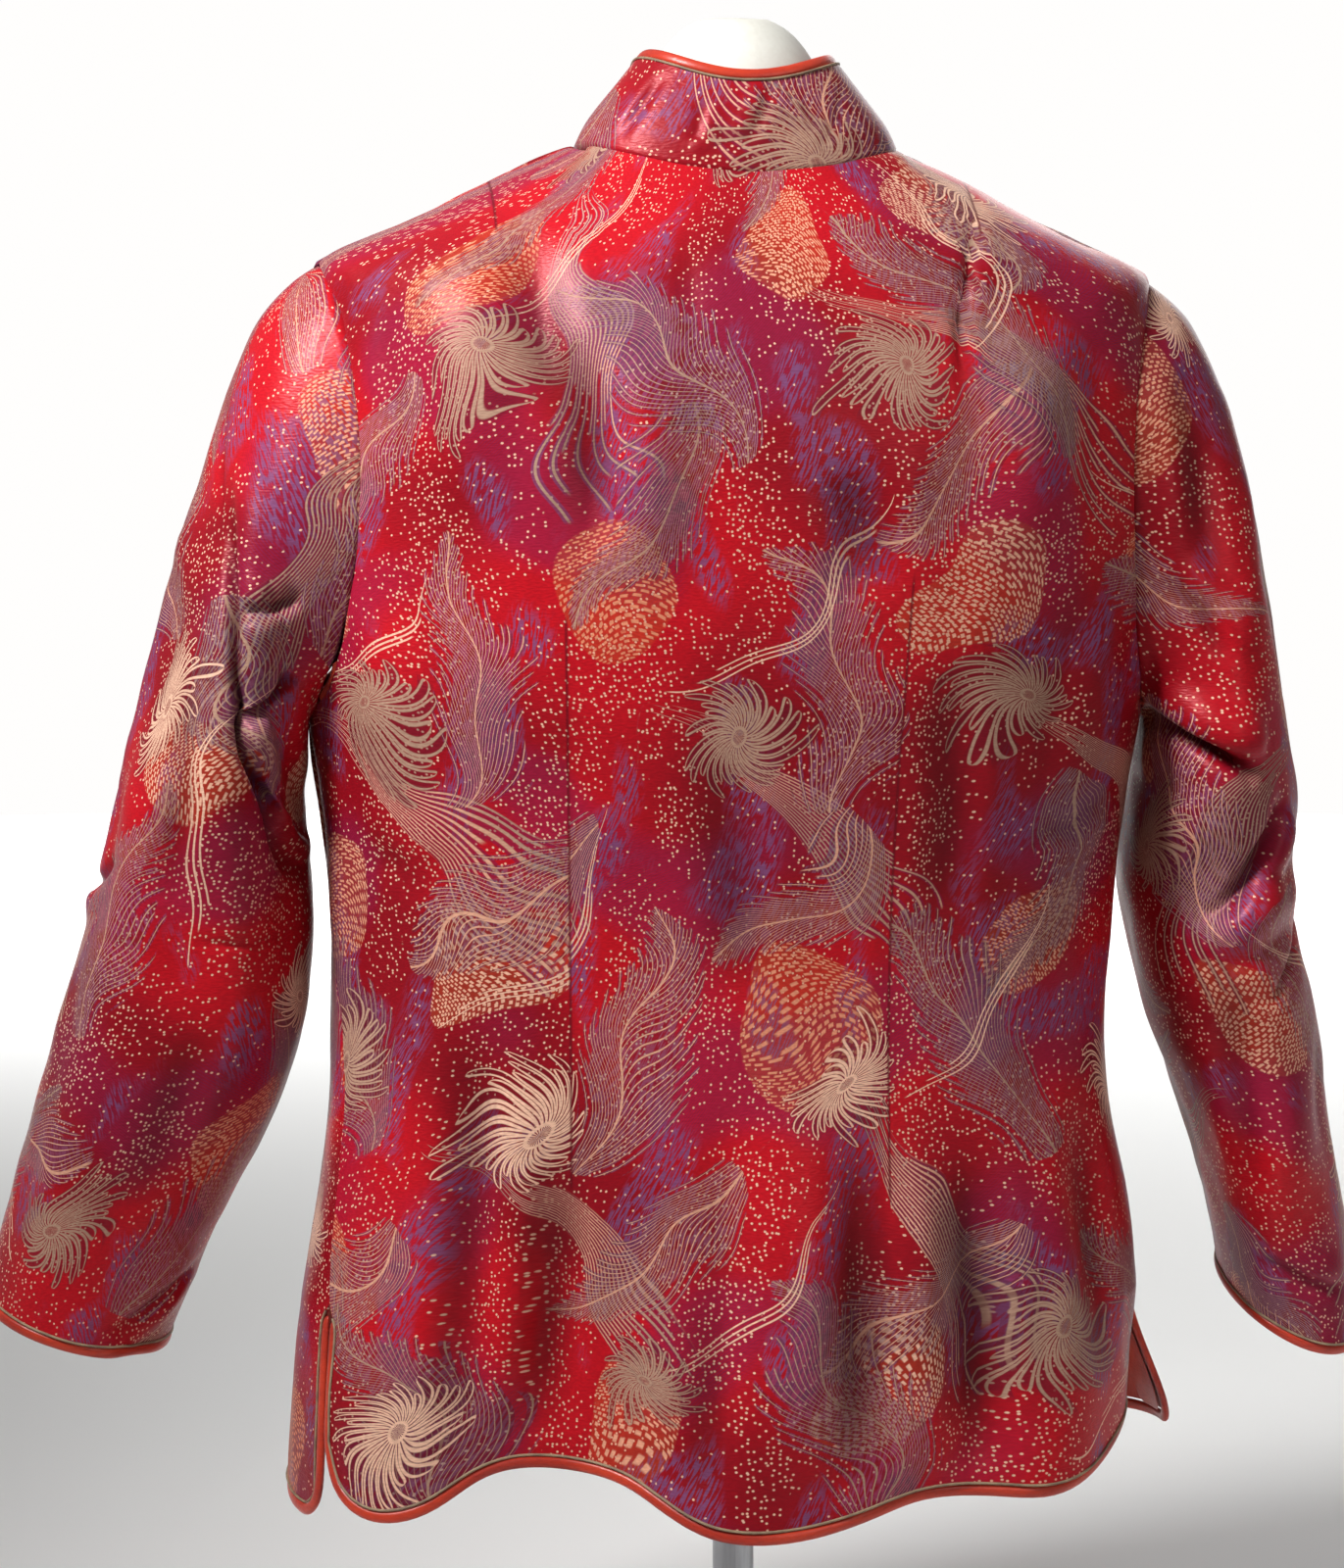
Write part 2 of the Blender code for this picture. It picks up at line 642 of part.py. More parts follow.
def make_collar(looks):
    base = neck_ring()
    rows = []
    for k in range(COLLAR_ROWS + 1):
        share = k / COLLAR_ROWS
        lean = max(share - COLLAR_UPRIGHT, 0.0) / (1 - COLLAR_UPRIGHT)
        row = []
        for x, y, z in base:
            height = (STAND(y) - BINDING) * share
            wide = 1 + (COLLAR_TOP_WIDTH - 1) * lean
            deep = 1 + (COLLAR_TOP_DEPTH - 1) * lean
            end = x if abs(x) < 1.5 * FRONT_EDGE_X and y < 0 else x * wide
            row.append([end, COLLAR_MIDDLE_Y + (y - COLLAR_MIDDLE_Y) * deep, z + NECK_GAP + height])
        rows.append(row)
    grid = np.array(rows)
    normals = grid_normals(grid)
    sheet("collar", grid, normals, looks["brocade"], WALL)
    last = grid.shape[1] - 1
    cells = [(r, last) for r in range(0, COLLAR_ROWS)]
    cells += [(COLLAR_ROWS, c) for c in range(last, -1, -1)]
    cells += [(r, 0) for r in range(COLLAR_ROWS - 1, -1, -1)]
    binding("binding_collar", *edge_path(grid, normals, cells), looks["satin"])


def armhole_ring(side):
    """The armhole's edge from the shoulder, down the back, under the arm and up the front."""
    paths = {}
    for face, from_middle in (("back", 0.0), ("front", FRONT_EDGE_X)):
        rows = [yoke_row(face, side, k / YOKE_ROWS, from_middle) for k in range(YOKE_ROWS + 1)]
        paths[face] = [row[-1] for row in rows]
        for end in (0, -1):
            paths[face][end][1] = 0.0
    ring = paths["back"][::-1] + paths["front"][1:-1]
    return np.array(ring) + np.array([side * ARMHOLE_GAP, 0.0, 0.0])


def outside_body(side, point, clearance):
    """Pushes a sleeve's point out sideways to where it clears the jacket's body."""
    x, y, z = point
    face = "back" if y > 0 else "front"
    share = min(abs(y) / DEPTH[face](z), 1.0)
    limit = HALF_WIDTH(z) * (1 - share**ROUNDNESS) ** (1 / ROUNDNESS)
    if z > UNDERARM_Z:
        limit = min(limit, ARMHOLE_X[face](z))
    limit += side * MIDDLE_X(z) + clearance
    return np.array([side * max(side * x, limit), y, z])


def fold_at(folds, around, along):
    depth = 0.0
    for fold in folds:
        turned = around - fold.around - fold.slant * (along - fold.along)
        turned -= round(turned)
        depth += fold.depth * bump(turned / fold.width) * bump((along - fold.along) / fold.length)
    return depth


def section_ring(sections, side, share, arounds):
    """One ring of the hanging part of a sleeve. share runs from its first section to the cuff."""
    table = tuple(reversed(sections))
    z = sections[0].height + (sections[-1].height - sections[0].height) * share
    names = ("outer", "inner", "middle_y", "half_depth", "lift_out", "lift_back")
    outer, inner, middle_y, deep, lift_out, lift_back = (column(table, n)(z) for n in names)
    ring = []
    for around in arounds:
        out, back = math.cos(2 * math.pi * around), math.sin(2 * math.pi * around)
        x = (outer + inner) / 2 + (outer - inner) / 2 * out
        ring.append([side * x, middle_y + deep * back, z + lift_out * out + lift_back * back])
    return np.array(ring)


def sleeve_grid(side, sections, folds):
    """Rings from the armhole to the cuff, and where each point lies round the sleeve."""
    edge = armhole_ring(side)
    count = len(edge)
    arounds = [k / count for k in range(count)]
    first = section_ring(sections, side, 0.0, arounds)
    down = np.array([side * CAP_SLOPE[side], 0.0, -1.0])
    rings = []
    for k in range(CAP_ROWS):
        t = k / CAP_ROWS
        ring = []
        for start, end in zip(edge, first):
            run = np.linalg.norm(end - start)
            full = np.linalg.norm(first[0] - edge[0])
            leave = start + np.array([side * CAP_REACH_OUT, 0.0, -CAP_DROP]) * run / full
            arrive = end - down * CAP_REACH_DOWN * run / full
            ring.append(
                (1 - t) ** 3 * start
                + 3 * t * (1 - t) ** 2 * leave
                + 3 * t * t * (1 - t) * arrive
                + t**3 * end
            )
        rings.append(ring)
    for k in range(SLEEVE_ROWS + 1):
        rings.append(section_ring(sections, side, k / SLEEVE_ROWS, arounds))
    grid = np.array(rings)
    normals = grid_normals(grid, closed=True) * (-side)
    last = len(grid) - 1
    for r in range(len(grid)):
        along = r / last
        fade = smoothstep(along * 7)
        for c, around in enumerate(arounds):
            moved = grid[r, c] + normals[r, c] * fold_at(folds, around, along) * fade
            clearance = ARMHOLE_GAP + SLEEVE_CLEARANCE * smoothstep(r / 3)
            grid[r, c] = outside_body(side, moved, clearance) if r else moved
    return grid


def make_sleeve(word, side, sections, folds, looks):
    grid = sleeve_grid(side, sections, folds)
    normals = -side * grid_normals(grid, closed=True)
    sheet(f"sleeve_{word}", grid, normals, looks["brocade"], WALL, closed=True, flip=side > 0)
    edge, out = grid[-1], normals[-1]
    if side < 0:
        edge, out = edge[::-1], out[::-1]
    binding(f"binding_cuff_{word}", edge, out, looks["satin"], closed=True)


def on_front(grid, side, x, z):
    """Point of a front's outer surface, x out from the jacket's middle line, near the front edge."""
    near = grid[:, :5] if side > 0 else grid[:, :-6:-1]
    across = [side * np.interp(z, near[:, c, 2], near[:, c, 0]) for c in range(5)]
    depth = [np.interp(z, near[:, c, 2], near[:, c, 1]) for c in range(5)]
    at = x + side * MIDDLE_X(z)
    return np.array([side * at, np.interp(at, across, depth), z])


def make_frog(number, z, fronts, looks):
    """One fastening: a flat doubled cord on each front and the knot button between them."""
    lift = BINDING_PROUD + 0.0002
    profile = (0.0, FROG_THICK, 0.55 * FROG_THICK, FROG_THICK, 0.0)
    for side, word in ((1, "left"), (-1, "right")):
        rows = []
        for share in np.linspace(0.0, 1.0, 5):
            x = KNOT_RADIUS + KNOT_SPREAD + FROG_LENGTH * share
            across = np.linspace(-FROG_WIDTH / 2, FROG_WIDTH / 2, len(profile))
            row = []
            for dz, height in zip(across, profile):
                point = on_front(fronts[side], side, x, z + dz)
                point[1] -= lift + FROG_CORD + height
                row.append(point)
            rows.append(row)
        grid = np.array(rows)
        normals = -side * grid_normals(grid)
        name = f"frog_{number}_{word}"
        sheet(name, grid, normals, looks["cord"], FROG_CORD, flip=side > 0)
    bm = bmesh.new()
    bmesh.ops.create_uvsphere(bm, u_segments=10, v_segments=6, radius=KNOT_RADIUS)
    mesh = bpy.data.meshes.new(f"frog_{number}_knot")
    bm.to_mesh(mesh)
    bm.free()
    obj = bpy.data.objects.new(f"frog_{number}_knot", mesh)
    bpy.context.scene.collection.objects.link(obj)
    mesh.materials.append(looks["cord"])
    mesh.shade_smooth()
    below, middle, above = (on_front(fronts[1], 1, 0.0, z + dz) for dz in (-0.006, 0.0, 0.006))
    outward = np.array([0.0, below[2] - above[2], above[1] - below[1]])
    outward *= (lift + KNOT_RADIUS - KNOT_SUNK) / np.linalg.norm(outward)
    obj.location = middle + outward


def form_ring(level):
    ring = []
    for k in range(FORM_SIDES):
        angle = 2 * math.pi * k / FORM_SIDES
        out, back = math.cos(angle), math.sin(angle)
        power = 2 / level.roundness
        deep = level.back if back > 0 else level.front
        x = math.copysign(level.half_width * abs(out) ** power, out)
        y = math.copysign(deep * abs(back) ** power, back)
        tilt = SHOULDER_TILT * smoothstep((level.height - UNDERARM_Z) / (SHOULDER_Z - UNDERARM_Z))
        ring.append((x, y, level.height + tilt * x))
    return ring


def shoulder_levels():
    """The form's levels that follow the jacket's shoulders, a wall's thickness and a hair inside."""
    found = []
    for z in FORM_SHOULDER_HEIGHTS:
        high = z + FORM_SHOULDER_DROP * 1.12
        back = DEPTH["back"](high) - FORM_SHRINK_BACK
        front = DEPTH["front"](high) - FORM_SHRINK_FRONT
        found.append(FormLevel(z, HALF_WIDTH(high), back, front, ROUNDNESS))
    return tuple(found)


def make_form(looks):
    levels = FORM + shoulder_levels() + FORM_NECK
    rings = [form_ring(level) for level in levels]
    rows_mesh("dress_form", rings, looks["form"])
    pole = (
        (POLE_RADIUS, BASE_THICK + POLE_SEAT_GAP),
        (POLE_RADIUS, FORM_BOTTOM_Z - POLE_SEAT_GAP),
    )
    turned("stand_pole", pole, looks["steel"])
    profile = (
        (BASE_RADIUS, 0.0),
        (BASE_RADIUS, BASE_THICK - BASE_EDGE),
        (BASE_RADIUS - BASE_EDGE, BASE_THICK),
    )
    turned("stand_base", profile, looks["steel"])


def turned(name, profile, look, sides=40):
    """A turned solid: each (radius, height) of the profile is one ring."""
    rings = [
        [
            (r * math.cos(2 * math.pi * k / sides), r * math.sin(2 * math.pi * k / sides), z)
            for k in range(sides)
        ]
        for r, z in profile
    ]
    obj = rows_mesh(name, rings, look)
    obj.data.set_sharp_from_angle(angle=math.radians(30))
    return obj


def main():
    clear_scene()
    looks = {
        "brocade": material("brocade", (0.42, 0.02, 0.035), 0.42),
        "satin": material("satin", (0.62, 0.06, 0.02), 0.30),
        "cord": material("cord", (0.60, 0.05, 0.02), 0.45),
        "form": material("form", (0.84, 0.83, 0.76), 0.60),
        "steel": material("steel", (0.62, 0.62, 0.63), 0.30, 1.0),
    }
    fronts = make_body(looks)
    make_collar(looks)
    make_sleeve("left", 1, LEFT_SLEEVE, LEFT_FOLDS, looks)
    make_sleeve("right", -1, RIGHT_SLEEVE, RIGHT_FOLDS, looks)
    for number, z in enumerate(FROG_HEIGHTS, 1):
        make_frog(number, z, fronts, looks)
    make_form(looks)


main()
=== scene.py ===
"""The looks of a patterned satin jacket on its dress form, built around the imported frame."""

import math

import bmesh
import bpy
import numpy as np
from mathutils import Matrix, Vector, noise
from mathutils.bvhtree import BVHTree
from mathutils.kdtree import KDTree


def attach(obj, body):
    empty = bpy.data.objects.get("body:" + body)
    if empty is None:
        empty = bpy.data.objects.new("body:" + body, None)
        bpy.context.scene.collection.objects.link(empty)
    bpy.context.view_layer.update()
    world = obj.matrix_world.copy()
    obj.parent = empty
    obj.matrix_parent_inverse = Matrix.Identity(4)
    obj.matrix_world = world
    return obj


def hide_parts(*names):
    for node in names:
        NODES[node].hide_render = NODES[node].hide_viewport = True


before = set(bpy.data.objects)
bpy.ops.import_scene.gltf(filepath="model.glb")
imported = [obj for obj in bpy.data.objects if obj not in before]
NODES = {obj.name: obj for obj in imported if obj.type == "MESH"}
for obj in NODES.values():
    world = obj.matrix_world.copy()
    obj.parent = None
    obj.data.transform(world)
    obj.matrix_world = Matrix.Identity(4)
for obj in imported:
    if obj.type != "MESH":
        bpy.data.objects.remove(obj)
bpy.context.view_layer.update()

# Camera, in degrees and metres
AZIMUTH = 174.0
ELEVATION = 5.0
DISTANCE = 1.78
TARGET = Vector((0.030, 0.0, 0.500))
FRAME_HEIGHT = 0.752
SENSOR = 36.0  # mm

# Studio
WORLD_DIM = 0.19
WORLD_BRIGHT = 1.0
KEY_SPREAD = 0.80
KEY_LIFT = 0.14
# Name, then how far towards the camera, to its right and up from the target, then size and watts
LAMPS = (("key", 1.0, -1.1, 1.5, 0.5, 4.7), ("fill", 1.9, 1.3, 0.9, 1.2, 7.0), ("front", -2.2, 0.9, 0.9, 1.4, 14.0),
         ("paper", -5.2, 0.0, 1.8, 5.0, 340.0))
PAPER_AIM = Vector((0.0, -0.4, -1.0))
FLOOR_RADIUS = 5.2

# Cloth, in metres
SHELL = 0.0014
MERGE = 2e-5  # corners this near are one
RIM_ANGLE = math.radians(50)
PIPING = 0.00065
PUCKER_REACH = 0.010  # gathers beside a seam
PUCKER_DEPTH = 0.00045
PUCKER_LENGTH = 0.0045
PINCH = 0.55  # share of a crease's depth by which its sides draw together
LIP = 0.0035  # width of a turned-in seam
LIP_SUNK = 0.0026
DART_SHIFT = 0.011  # cloth that a dart takes in, so the pattern doesn't meet across it
DRIFT = 0.034
FOLD_SHADE = 0.0055  # depth of fold that is shaded in full
SPECKS = 420.0  # specks to a metre of cloth


# Shader graphs, written as sums
class Val:
    """A node socket or a number that can be added, multiplied and so on."""

    def __init__(self, tree, socket):
        self.tree, self.s = tree, socket

    def op(self, kind, *others, clamp=False):
        node = self.tree.nodes.new("ShaderNodeMath")
        node.operation = kind
        node.use_clamp = clamp
        for slot, value in zip(node.inputs, (self, *others)):
            plug(self.tree, value, slot)
        return Val(self.tree, node.outputs[0])

    def __add__(self, o):
        return self.op("ADD", o)

    def __sub__(self, o):
        return self.op("SUBTRACT", o)

    def __mul__(self, o):
        return self.op("MULTIPLY", o)

    def __truediv__(self, o):
        return self.op("DIVIDE", o)

    __radd__, __rmul__ = __add__, __mul__

    def __rsub__(self, o):
        return (self * -1.0) + o

    def floor(self):
        return self.op("FLOOR")

    def fract(self):
        return self.op("FRACT")

    def abs(self):
        return self.op("ABSOLUTE")

    def sin(self):
        return self.op("SINE")

    def cos(self):
        return self.op("COSINE")

    def power(self, o):
        return self.op("POWER", o)

    def least(self, o):
        return self.op("MINIMUM", o)

    def most(self, o):
        return self.op("MAXIMUM", o)

    def step(self, low, high, to_low=0.0, to_high=1.0):
        """A smooth step from to_low at low to to_high at high."""
        node = self.tree.nodes.new("ShaderNodeMapRange")
        node.interpolation_type = "SMOOTHSTEP"
        for slot, value in zip(node.inputs, (self, low, high, to_low, to_high)):
            plug(self.tree, value, slot)
        return Val(self.tree, node.outputs[0])


def plug(tree, value, slot):
    if isinstance(value, Val):
        tree.links.new(value.s, slot)
    else:
        slot.default_value = value


def vector(tree, x, y, z=0.0):
    node = tree.nodes.new("ShaderNodeCombineXYZ")
    for slot, value in zip(node.inputs, (x, y, z)):
        plug(tree, value, slot)
    return Val(tree, node.outputs[0])


def fog(tree, where, scale, detail=2.0, rough=0.5, flat=True):
    """Noise about 0.5."""
    node = tree.nodes.new("ShaderNodeTexNoise")
    node.noise_dimensions = "2D" if flat else "3D"
    tree.links.new(where.s, node.inputs["Vector"])
    node.inputs["Scale"].default_value = scale
    node.inputs["Detail"].default_value = detail
    node.inputs["Roughness"].default_value = rough
    return Val(tree, node.outputs[0])


def chances(tree, x, y, seed):
    """Three numbers from 0 to 1 that belong to a cell."""
    node = tree.nodes.new("ShaderNodeTexWhiteNoise")
    node.noise_dimensions = "3D"
    tree.links.new(vector(tree, x, y, seed).s, node.inputs["Vector"])
    split = tree.nodes.new("ShaderNodeSeparateColor")
    tree.links.new(node.outputs["Color"], split.inputs[0])
    return [Val(tree, split.outputs[k]) for k in range(3)]


def blend(tree, share, a, b):
    """Colour a, turning to colour b where share is 1."""
    node = tree.nodes.new("ShaderNodeMix")
    node.data_type = "RGBA"
    plug(tree, share, node.inputs[0])
    for value, slot in ((a, node.inputs[6]), (b, node.inputs[7])):
        if isinstance(value, Val):
            tree.links.new(value.s, slot)
        else:
            slot.default_value = (*value, 1.0)
    return Val(tree, node.outputs[2])


def cell(tree, u, v, wide, high, seed, jitter, turn, spread):
    """Staggered cells. Each has its own x, y turned by about turn radians, and three chances."""
    row = (v / high).floor()
    across = u / wide + row * 0.5 + seed * 0.37
    column = across.floor()
    a, b, c = chances(tree, column, row, seed)
    x = (across - column - 0.5) * wide - (a - 0.5) * (jitter * wide)
    y = (v / high - row - 0.5) * high - (b - 0.5) * (jitter * high)
    angle = (c - 0.5) * spread + turn
    cos, sin = angle.cos(), angle.sin()
    return x * cos + y * sin, y * cos - x * sin, (a, b, c)


def line(distance, width):
    """1 on a drawn line, 0 beside it."""
    return distance.step(width * 0.35, width * 0.75, 1.0, 0.0)


def stripes(value, pitch, width):
    """Lines at a pitch, both in metres of value."""
    return line(((value / pitch).fract() - 0.5).abs() * pitch, width)


# Colours, linear
CRIMSON = (0.53, 0.005, 0.013)
DEEP = (0.105, 0.002, 0.008)
SHADE = (0.075, 0.010, 0.026)
MAGENTA = (0.23, 0.012, 0.062)
VIOLET = (0.165, 0.085, 0.215)
TEAL = (0.085, 0.105, 0.190)
OCHRE = (0.52, 0.130, 0.030)
SALMON = (0.74, 0.250, 0.130)
# Painted shade for the folds' hollows and painted highlight for their ridges
PAINTED_HOLLOW_SHADE = (0.030, 0.001, 0.004)
PAINTED_RIDGE_HIGHLIGHT = (0.90, 0.100, 0.110)
CREAM = (0.86, 0.540, 0.380)
INK = (0.72, 0.380, 0.250)
TAUPE = (0.44, 0.280, 0.195)


def tuft(x, y, size, chance, petals, swirl):
    """A round flower of fine looped petals. Returns its lines and its inside."""
    radius = (x * x + y * y).op("SQRT")
    around = (y.op("ARCTAN2", x) + radius * (swirl / size)) * (petals / math.tau)
    edge = ((around * (3.0 * math.tau / petals) + chance * 6.0).sin() * 0.10 + 0.84
            + (around.floor() * 2.399).sin() * 0.16) * size
    along = (radius / edge).least(1.0)
    half = ((along * along * 3.1416).sin().power(0.45)) * 0.36
    pitch = radius * (math.tau / petals)
    width = (pitch * 0.34).least(0.00085)
    off = ((around.fract() - 0.5).abs() - half).abs() * pitch
    within = (radius - edge).step(-0.0002, 0.0002, 1.0, 0.0)
    ring = line((radius - size * 0.11).abs(), 0.0011)
    return (line(off, width) * within).most(ring), (radius - edge).step(-0.004, 0.002, 1.0, 0.0)


def plume(x, y, length, width, bow, pitch, sharp):
    """A feather of fine barbs along a bowed quill. Returns its lines and its inside."""
    t = (x / length + 0.5).least(1.0).most(0.0)
    far = (y - x * x * bow).abs()
    barb = (x - far.power(0.85) * sharp) / pitch
    ragged = (barb.floor() * 2.399).sin() * 0.22 + 0.78
    wing = (t.power(0.7) * 3.1416).sin().power(0.6) * ragged * width
    inside = (far - wing).step(-0.0008, 0.0004, 1.0, 0.0)
    drawn = line((barb.fract() - 0.5).abs() * pitch, 0.00075) * inside
    quill = line(far, 0.0008) * wing.step(0.0, 0.002)
    return drawn.most(quill), inside


def sheaf(x, y, length, width, bow, count, bend):
    """Long fine lines that leave one point and fan out. Returns its lines and its inside."""
    t = x / length + 0.5
    spread = (t.least(1.0).most(0.0) * 0.85 + 0.15) * width
    across = (y - x * x * bow - (x * 26.0).sin() * 0.0022) / spread
    lane = across * count + bend
    drawn = line((lane.fract() - 0.5).abs() * spread / count, (spread * (0.36 / count)).least(0.0008))
    ragged = t + (lane.floor() * 2.399).sin() * 0.16
    inside = (across.abs() - 0.5).step(-0.03, 0.02, 1.0, 0.0) * ragged.step(0.14, 0.16) * (
        ragged.step(0.86, 0.88, 1.0, 0.0))
    return drawn * inside, inside


def dashes(tree, x, y, wide, high):
    """An oval filled with short strokes. Returns its lines and its inside."""
    around = (x / wide) * (x / wide) + (y / high) * (y / high)
    q = (y + x * x * 9.0 + (x * 160.0).sin() * 0.0009) / 0.0021
    p = x / 0.0036 + q.floor() * 0.5
    a, b, _ = chances(tree, p.floor(), q.floor(), 7.0)
    px = (p.fract() - 0.5).abs() * 0.0036
    py = (q.fract() - 0.5 + (b - 0.5) * 0.35).abs() * 0.0021
    stroke = line(py, 0.0010) * px.step(0.0009, 0.0014, 1.0, 0.0) * a.step(0.10, 0.12)
    inside = around.step(0.90, 1.0, 1.0, 0.0)
    return stroke * inside, inside


def flat_map(tree, name):
    """The two numbers of one of the mesh's flat maps."""
    node = tree.nodes.new("ShaderNodeUVMap")
    node.uv_map = name
    split = tree.nodes.new("ShaderNodeSeparateXYZ")
    tree.links.new(node.outputs[0], split.inputs[0])
    return Val(tree, split.outputs[0]), Val(tree, split.outputs[1])


def brocade():
    """The cloth: crimson satin with a woven pattern of ovals, sheaves, feathers, wisps, flowers and specks."""
    mat = bpy.data.materials.new("brocade_satin")
    mat.use_nodes = True
    tree = mat.node_tree
    shader = tree.nodes["Principled BSDF"]
    # The last map carries the folds' painted shade and painted highlight
    (u, v), besides, intakes, (painted_fold_shade, high) = (flat_map(tree, name) for name in ("cut", "sewn", "taken", "painted_fold_light"))
    groove = painted_fold_shade * 0.0
    for beside, intake in zip(besides, intakes):
        u = u + beside.op("GREATER_THAN", 0.0) * intake
        sewn = intake.step(0.0002, 0.0015)
        groove = groove.most(beside.abs().step(0.0002, 0.0011, 1.0, 0.0) * sewn)
    flat = vector(tree, u, v)
    broad = fog(tree, flat, 9.0, 0.0)
    other = fog(tree, vector(tree, u + 5.0, v), 12.0, 0.0)
    weave = fog(tree, vector(tree, u, v * 2.6), 420.0, 0.0)
    colour = blend(tree, broad.step(0.36, 0.68) * 0.60, CRIMSON, DEEP)

    # Washes of thin coloured threads that follow one slant
    threads = stripes(v + u * 0.9 + broad * 0.05, 0.0014, 0.0007)
    colour = blend(tree, other.step(0.53, 0.70) * (threads * 0.55 + 0.25), colour, MAGENTA)
    haze = fog(tree, vector(tree, u * 1.35 + 9.0, v * 0.8), 17.0, 1.0, 0.55)
    strokes = fog(tree, vector(tree, u * 9.0 + v * 4.0, v * 1.3 - u * 0.5), 105.0, 0.0)
    colour = blend(tree, haze.step(0.56, 0.67) * strokes.step(0.44, 0.56) * 0.75, colour, VIOLET)

    # A slow drift, so that the drawn lines bend as threads do
    drift = tree.nodes.new("ShaderNodeTexNoise")
    drift.noise_dimensions = "2D"
    tree.links.new(flat.s, drift.inputs["Vector"])
    drift.inputs["Scale"].default_value = 19.0
    drift.inputs["Detail"].default_value = 0.0
    ways = tree.nodes.new("ShaderNodeSeparateColor")
    tree.links.new(drift.outputs["Color"], ways.inputs[0])
    bent_u = u + (Val(tree, ways.outputs[0]) - 0.5) * DRIFT
    bent_v = v + (Val(tree, ways.outputs[1]) - 0.5) * DRIFT

    # Specks, denser in drifts
    speck = tree.nodes.new("ShaderNodeTexVoronoi")
    speck.voronoi_dimensions = "2D"
    tree.links.new(flat.s, speck.inputs["Vector"])
    speck.inputs["Scale"].default_value = SPECKS
    dot = line(Val(tree, speck.outputs["Distance"]) / SPECKS, 0.00095)
    tone = tree.nodes.new("ShaderNodeSeparateColor")
    tree.links.new(speck.outputs["Color"], tone.inputs[0])
    mask = dot * (Val(tree, tone.outputs[0]) - haze.step(0.35, 0.60, 0.62, 0.10)).step(0.0, 0.02, 1.0, 0.0)
    colour = blend(tree, mask, colour, CREAM)

    def lay(drawn, inside, ink, ground, share):
        nonlocal colour, mask
        colour = blend(tree, inside * share, colour, ground)
        colour = blend(tree, drawn, colour, ink)
        mask = (mask * (1.0 - inside * share)).most(drawn)

    # Ovals of short strokes
    x, y, (a, b, c) = cell(tree, bent_u, bent_v, 0.130, 0.170, 1.0, 0.45, 0.5, 1.6)
    drawn, inside = dashes(tree, x, y, 0.024, 0.034)
    lay(drawn, inside, blend(tree, c, SALMON, CREAM), OCHRE, 0.20)

    # Sheaves of long lines
    x, y, (a, b, c) = cell(tree, bent_u, bent_v, 0.185, 0.205, 3.0, 0.20, -2.3, 0.8)
    drawn, inside = sheaf(x, y, 0.165, 0.044, 2.0, 15.0, other * 3.0)
    ground = blend(tree, b.step(0.45, 0.55), MAGENTA, VIOLET)
    lay(drawn, inside, blend(tree, other.step(0.42, 0.58), INK, TAUPE), blend(tree, a, ground, SHADE), 0.62)

    # Two sorts of feather: seed, cell, turn, length, width, bow, and the barbs' pitch and slant
    quills = ((5.0, 0.135, 0.180, -0.95, 0.110, 0.021, 3.2, 0.0043, 1.7),
              (6.0, 0.170, 0.160, 1.35, 0.130, 0.028, -2.6, 0.0046, 1.4))
    for seed, wide, high, turn, length, width, bow, pitch, sharp in quills:
        x, y, (a, b, c) = cell(tree, bent_u, bent_v, wide, high, seed, 0.25, turn, 1.1)
        drawn, inside = plume(x, y, length, width, bow, pitch, sharp)
        ground = blend(tree, a.step(0.35, 0.65), VIOLET, TEAL)
        ink = blend(tree, c.step(0.3, 0.7), TAUPE, INK)
        lay(drawn, inside, ink, blend(tree, strokes.step(0.40, 0.60), ground, SHADE), 0.50)

    # Wisps of three lines, with no ground
    x, y, (a, b, c) = cell(tree, bent_u, bent_v, 0.200, 0.170, 11.0, 0.40, -1.3, 1.8)
    drawn, inside = sheaf(x, y, 0.130, 0.013, 5.0, 3.0, a)
    colour = blend(tree, drawn, colour, CREAM)
    mask = mask.most(drawn)

    # Round flowers
    x, y, (a, b, c) = cell(tree, bent_u, bent_v, 0.150, 0.150, 8.0, 0.35, 0.0, 6.28)
    drawn, inside = tuft(x, y, 0.030, a, 26.0, 0.9)
    lay(drawn, inside, blend(tree, b.step(0.4, 0.6), CREAM, TAUPE), blend(tree, c, SHADE, DEEP), 0.55)

    # The weave's own grain and the darts' seams, then painted shade in the folds' hollows and a painted highlight on
    # their ridges
    colour = blend(tree, (weave.step(0.30, 0.70) * 0.16).most(groove * 0.75), colour, DEEP)
    colour = blend(tree, painted_fold_shade * 0.62, colour, PAINTED_HOLLOW_SHADE)
    colour = blend(tree, high * 0.10, colour, PAINTED_RIDGE_HIGHLIGHT)
    tree.links.new(colour.s, shader.inputs["Base Color"])
    rough = mask.step(0.0, 1.0, 0.37, 0.52)
    tree.links.new(rough.s, shader.inputs["Roughness"])
    shader.inputs["Specular IOR Level"].default_value = 0.38
    shader.inputs["Specular Tint"].default_value = (1.0, 0.40, 0.42, 1.0)

    bump = tree.nodes.new("ShaderNodeBump")
    bump.inputs["Strength"].default_value = 0.5
    bump.inputs["Distance"].default_value = 0.00022
    tree.links.new(weave.s, bump.inputs["Height"])
    tree.links.new(bump.outputs[0], shader.inputs["Normal"])
    return mat


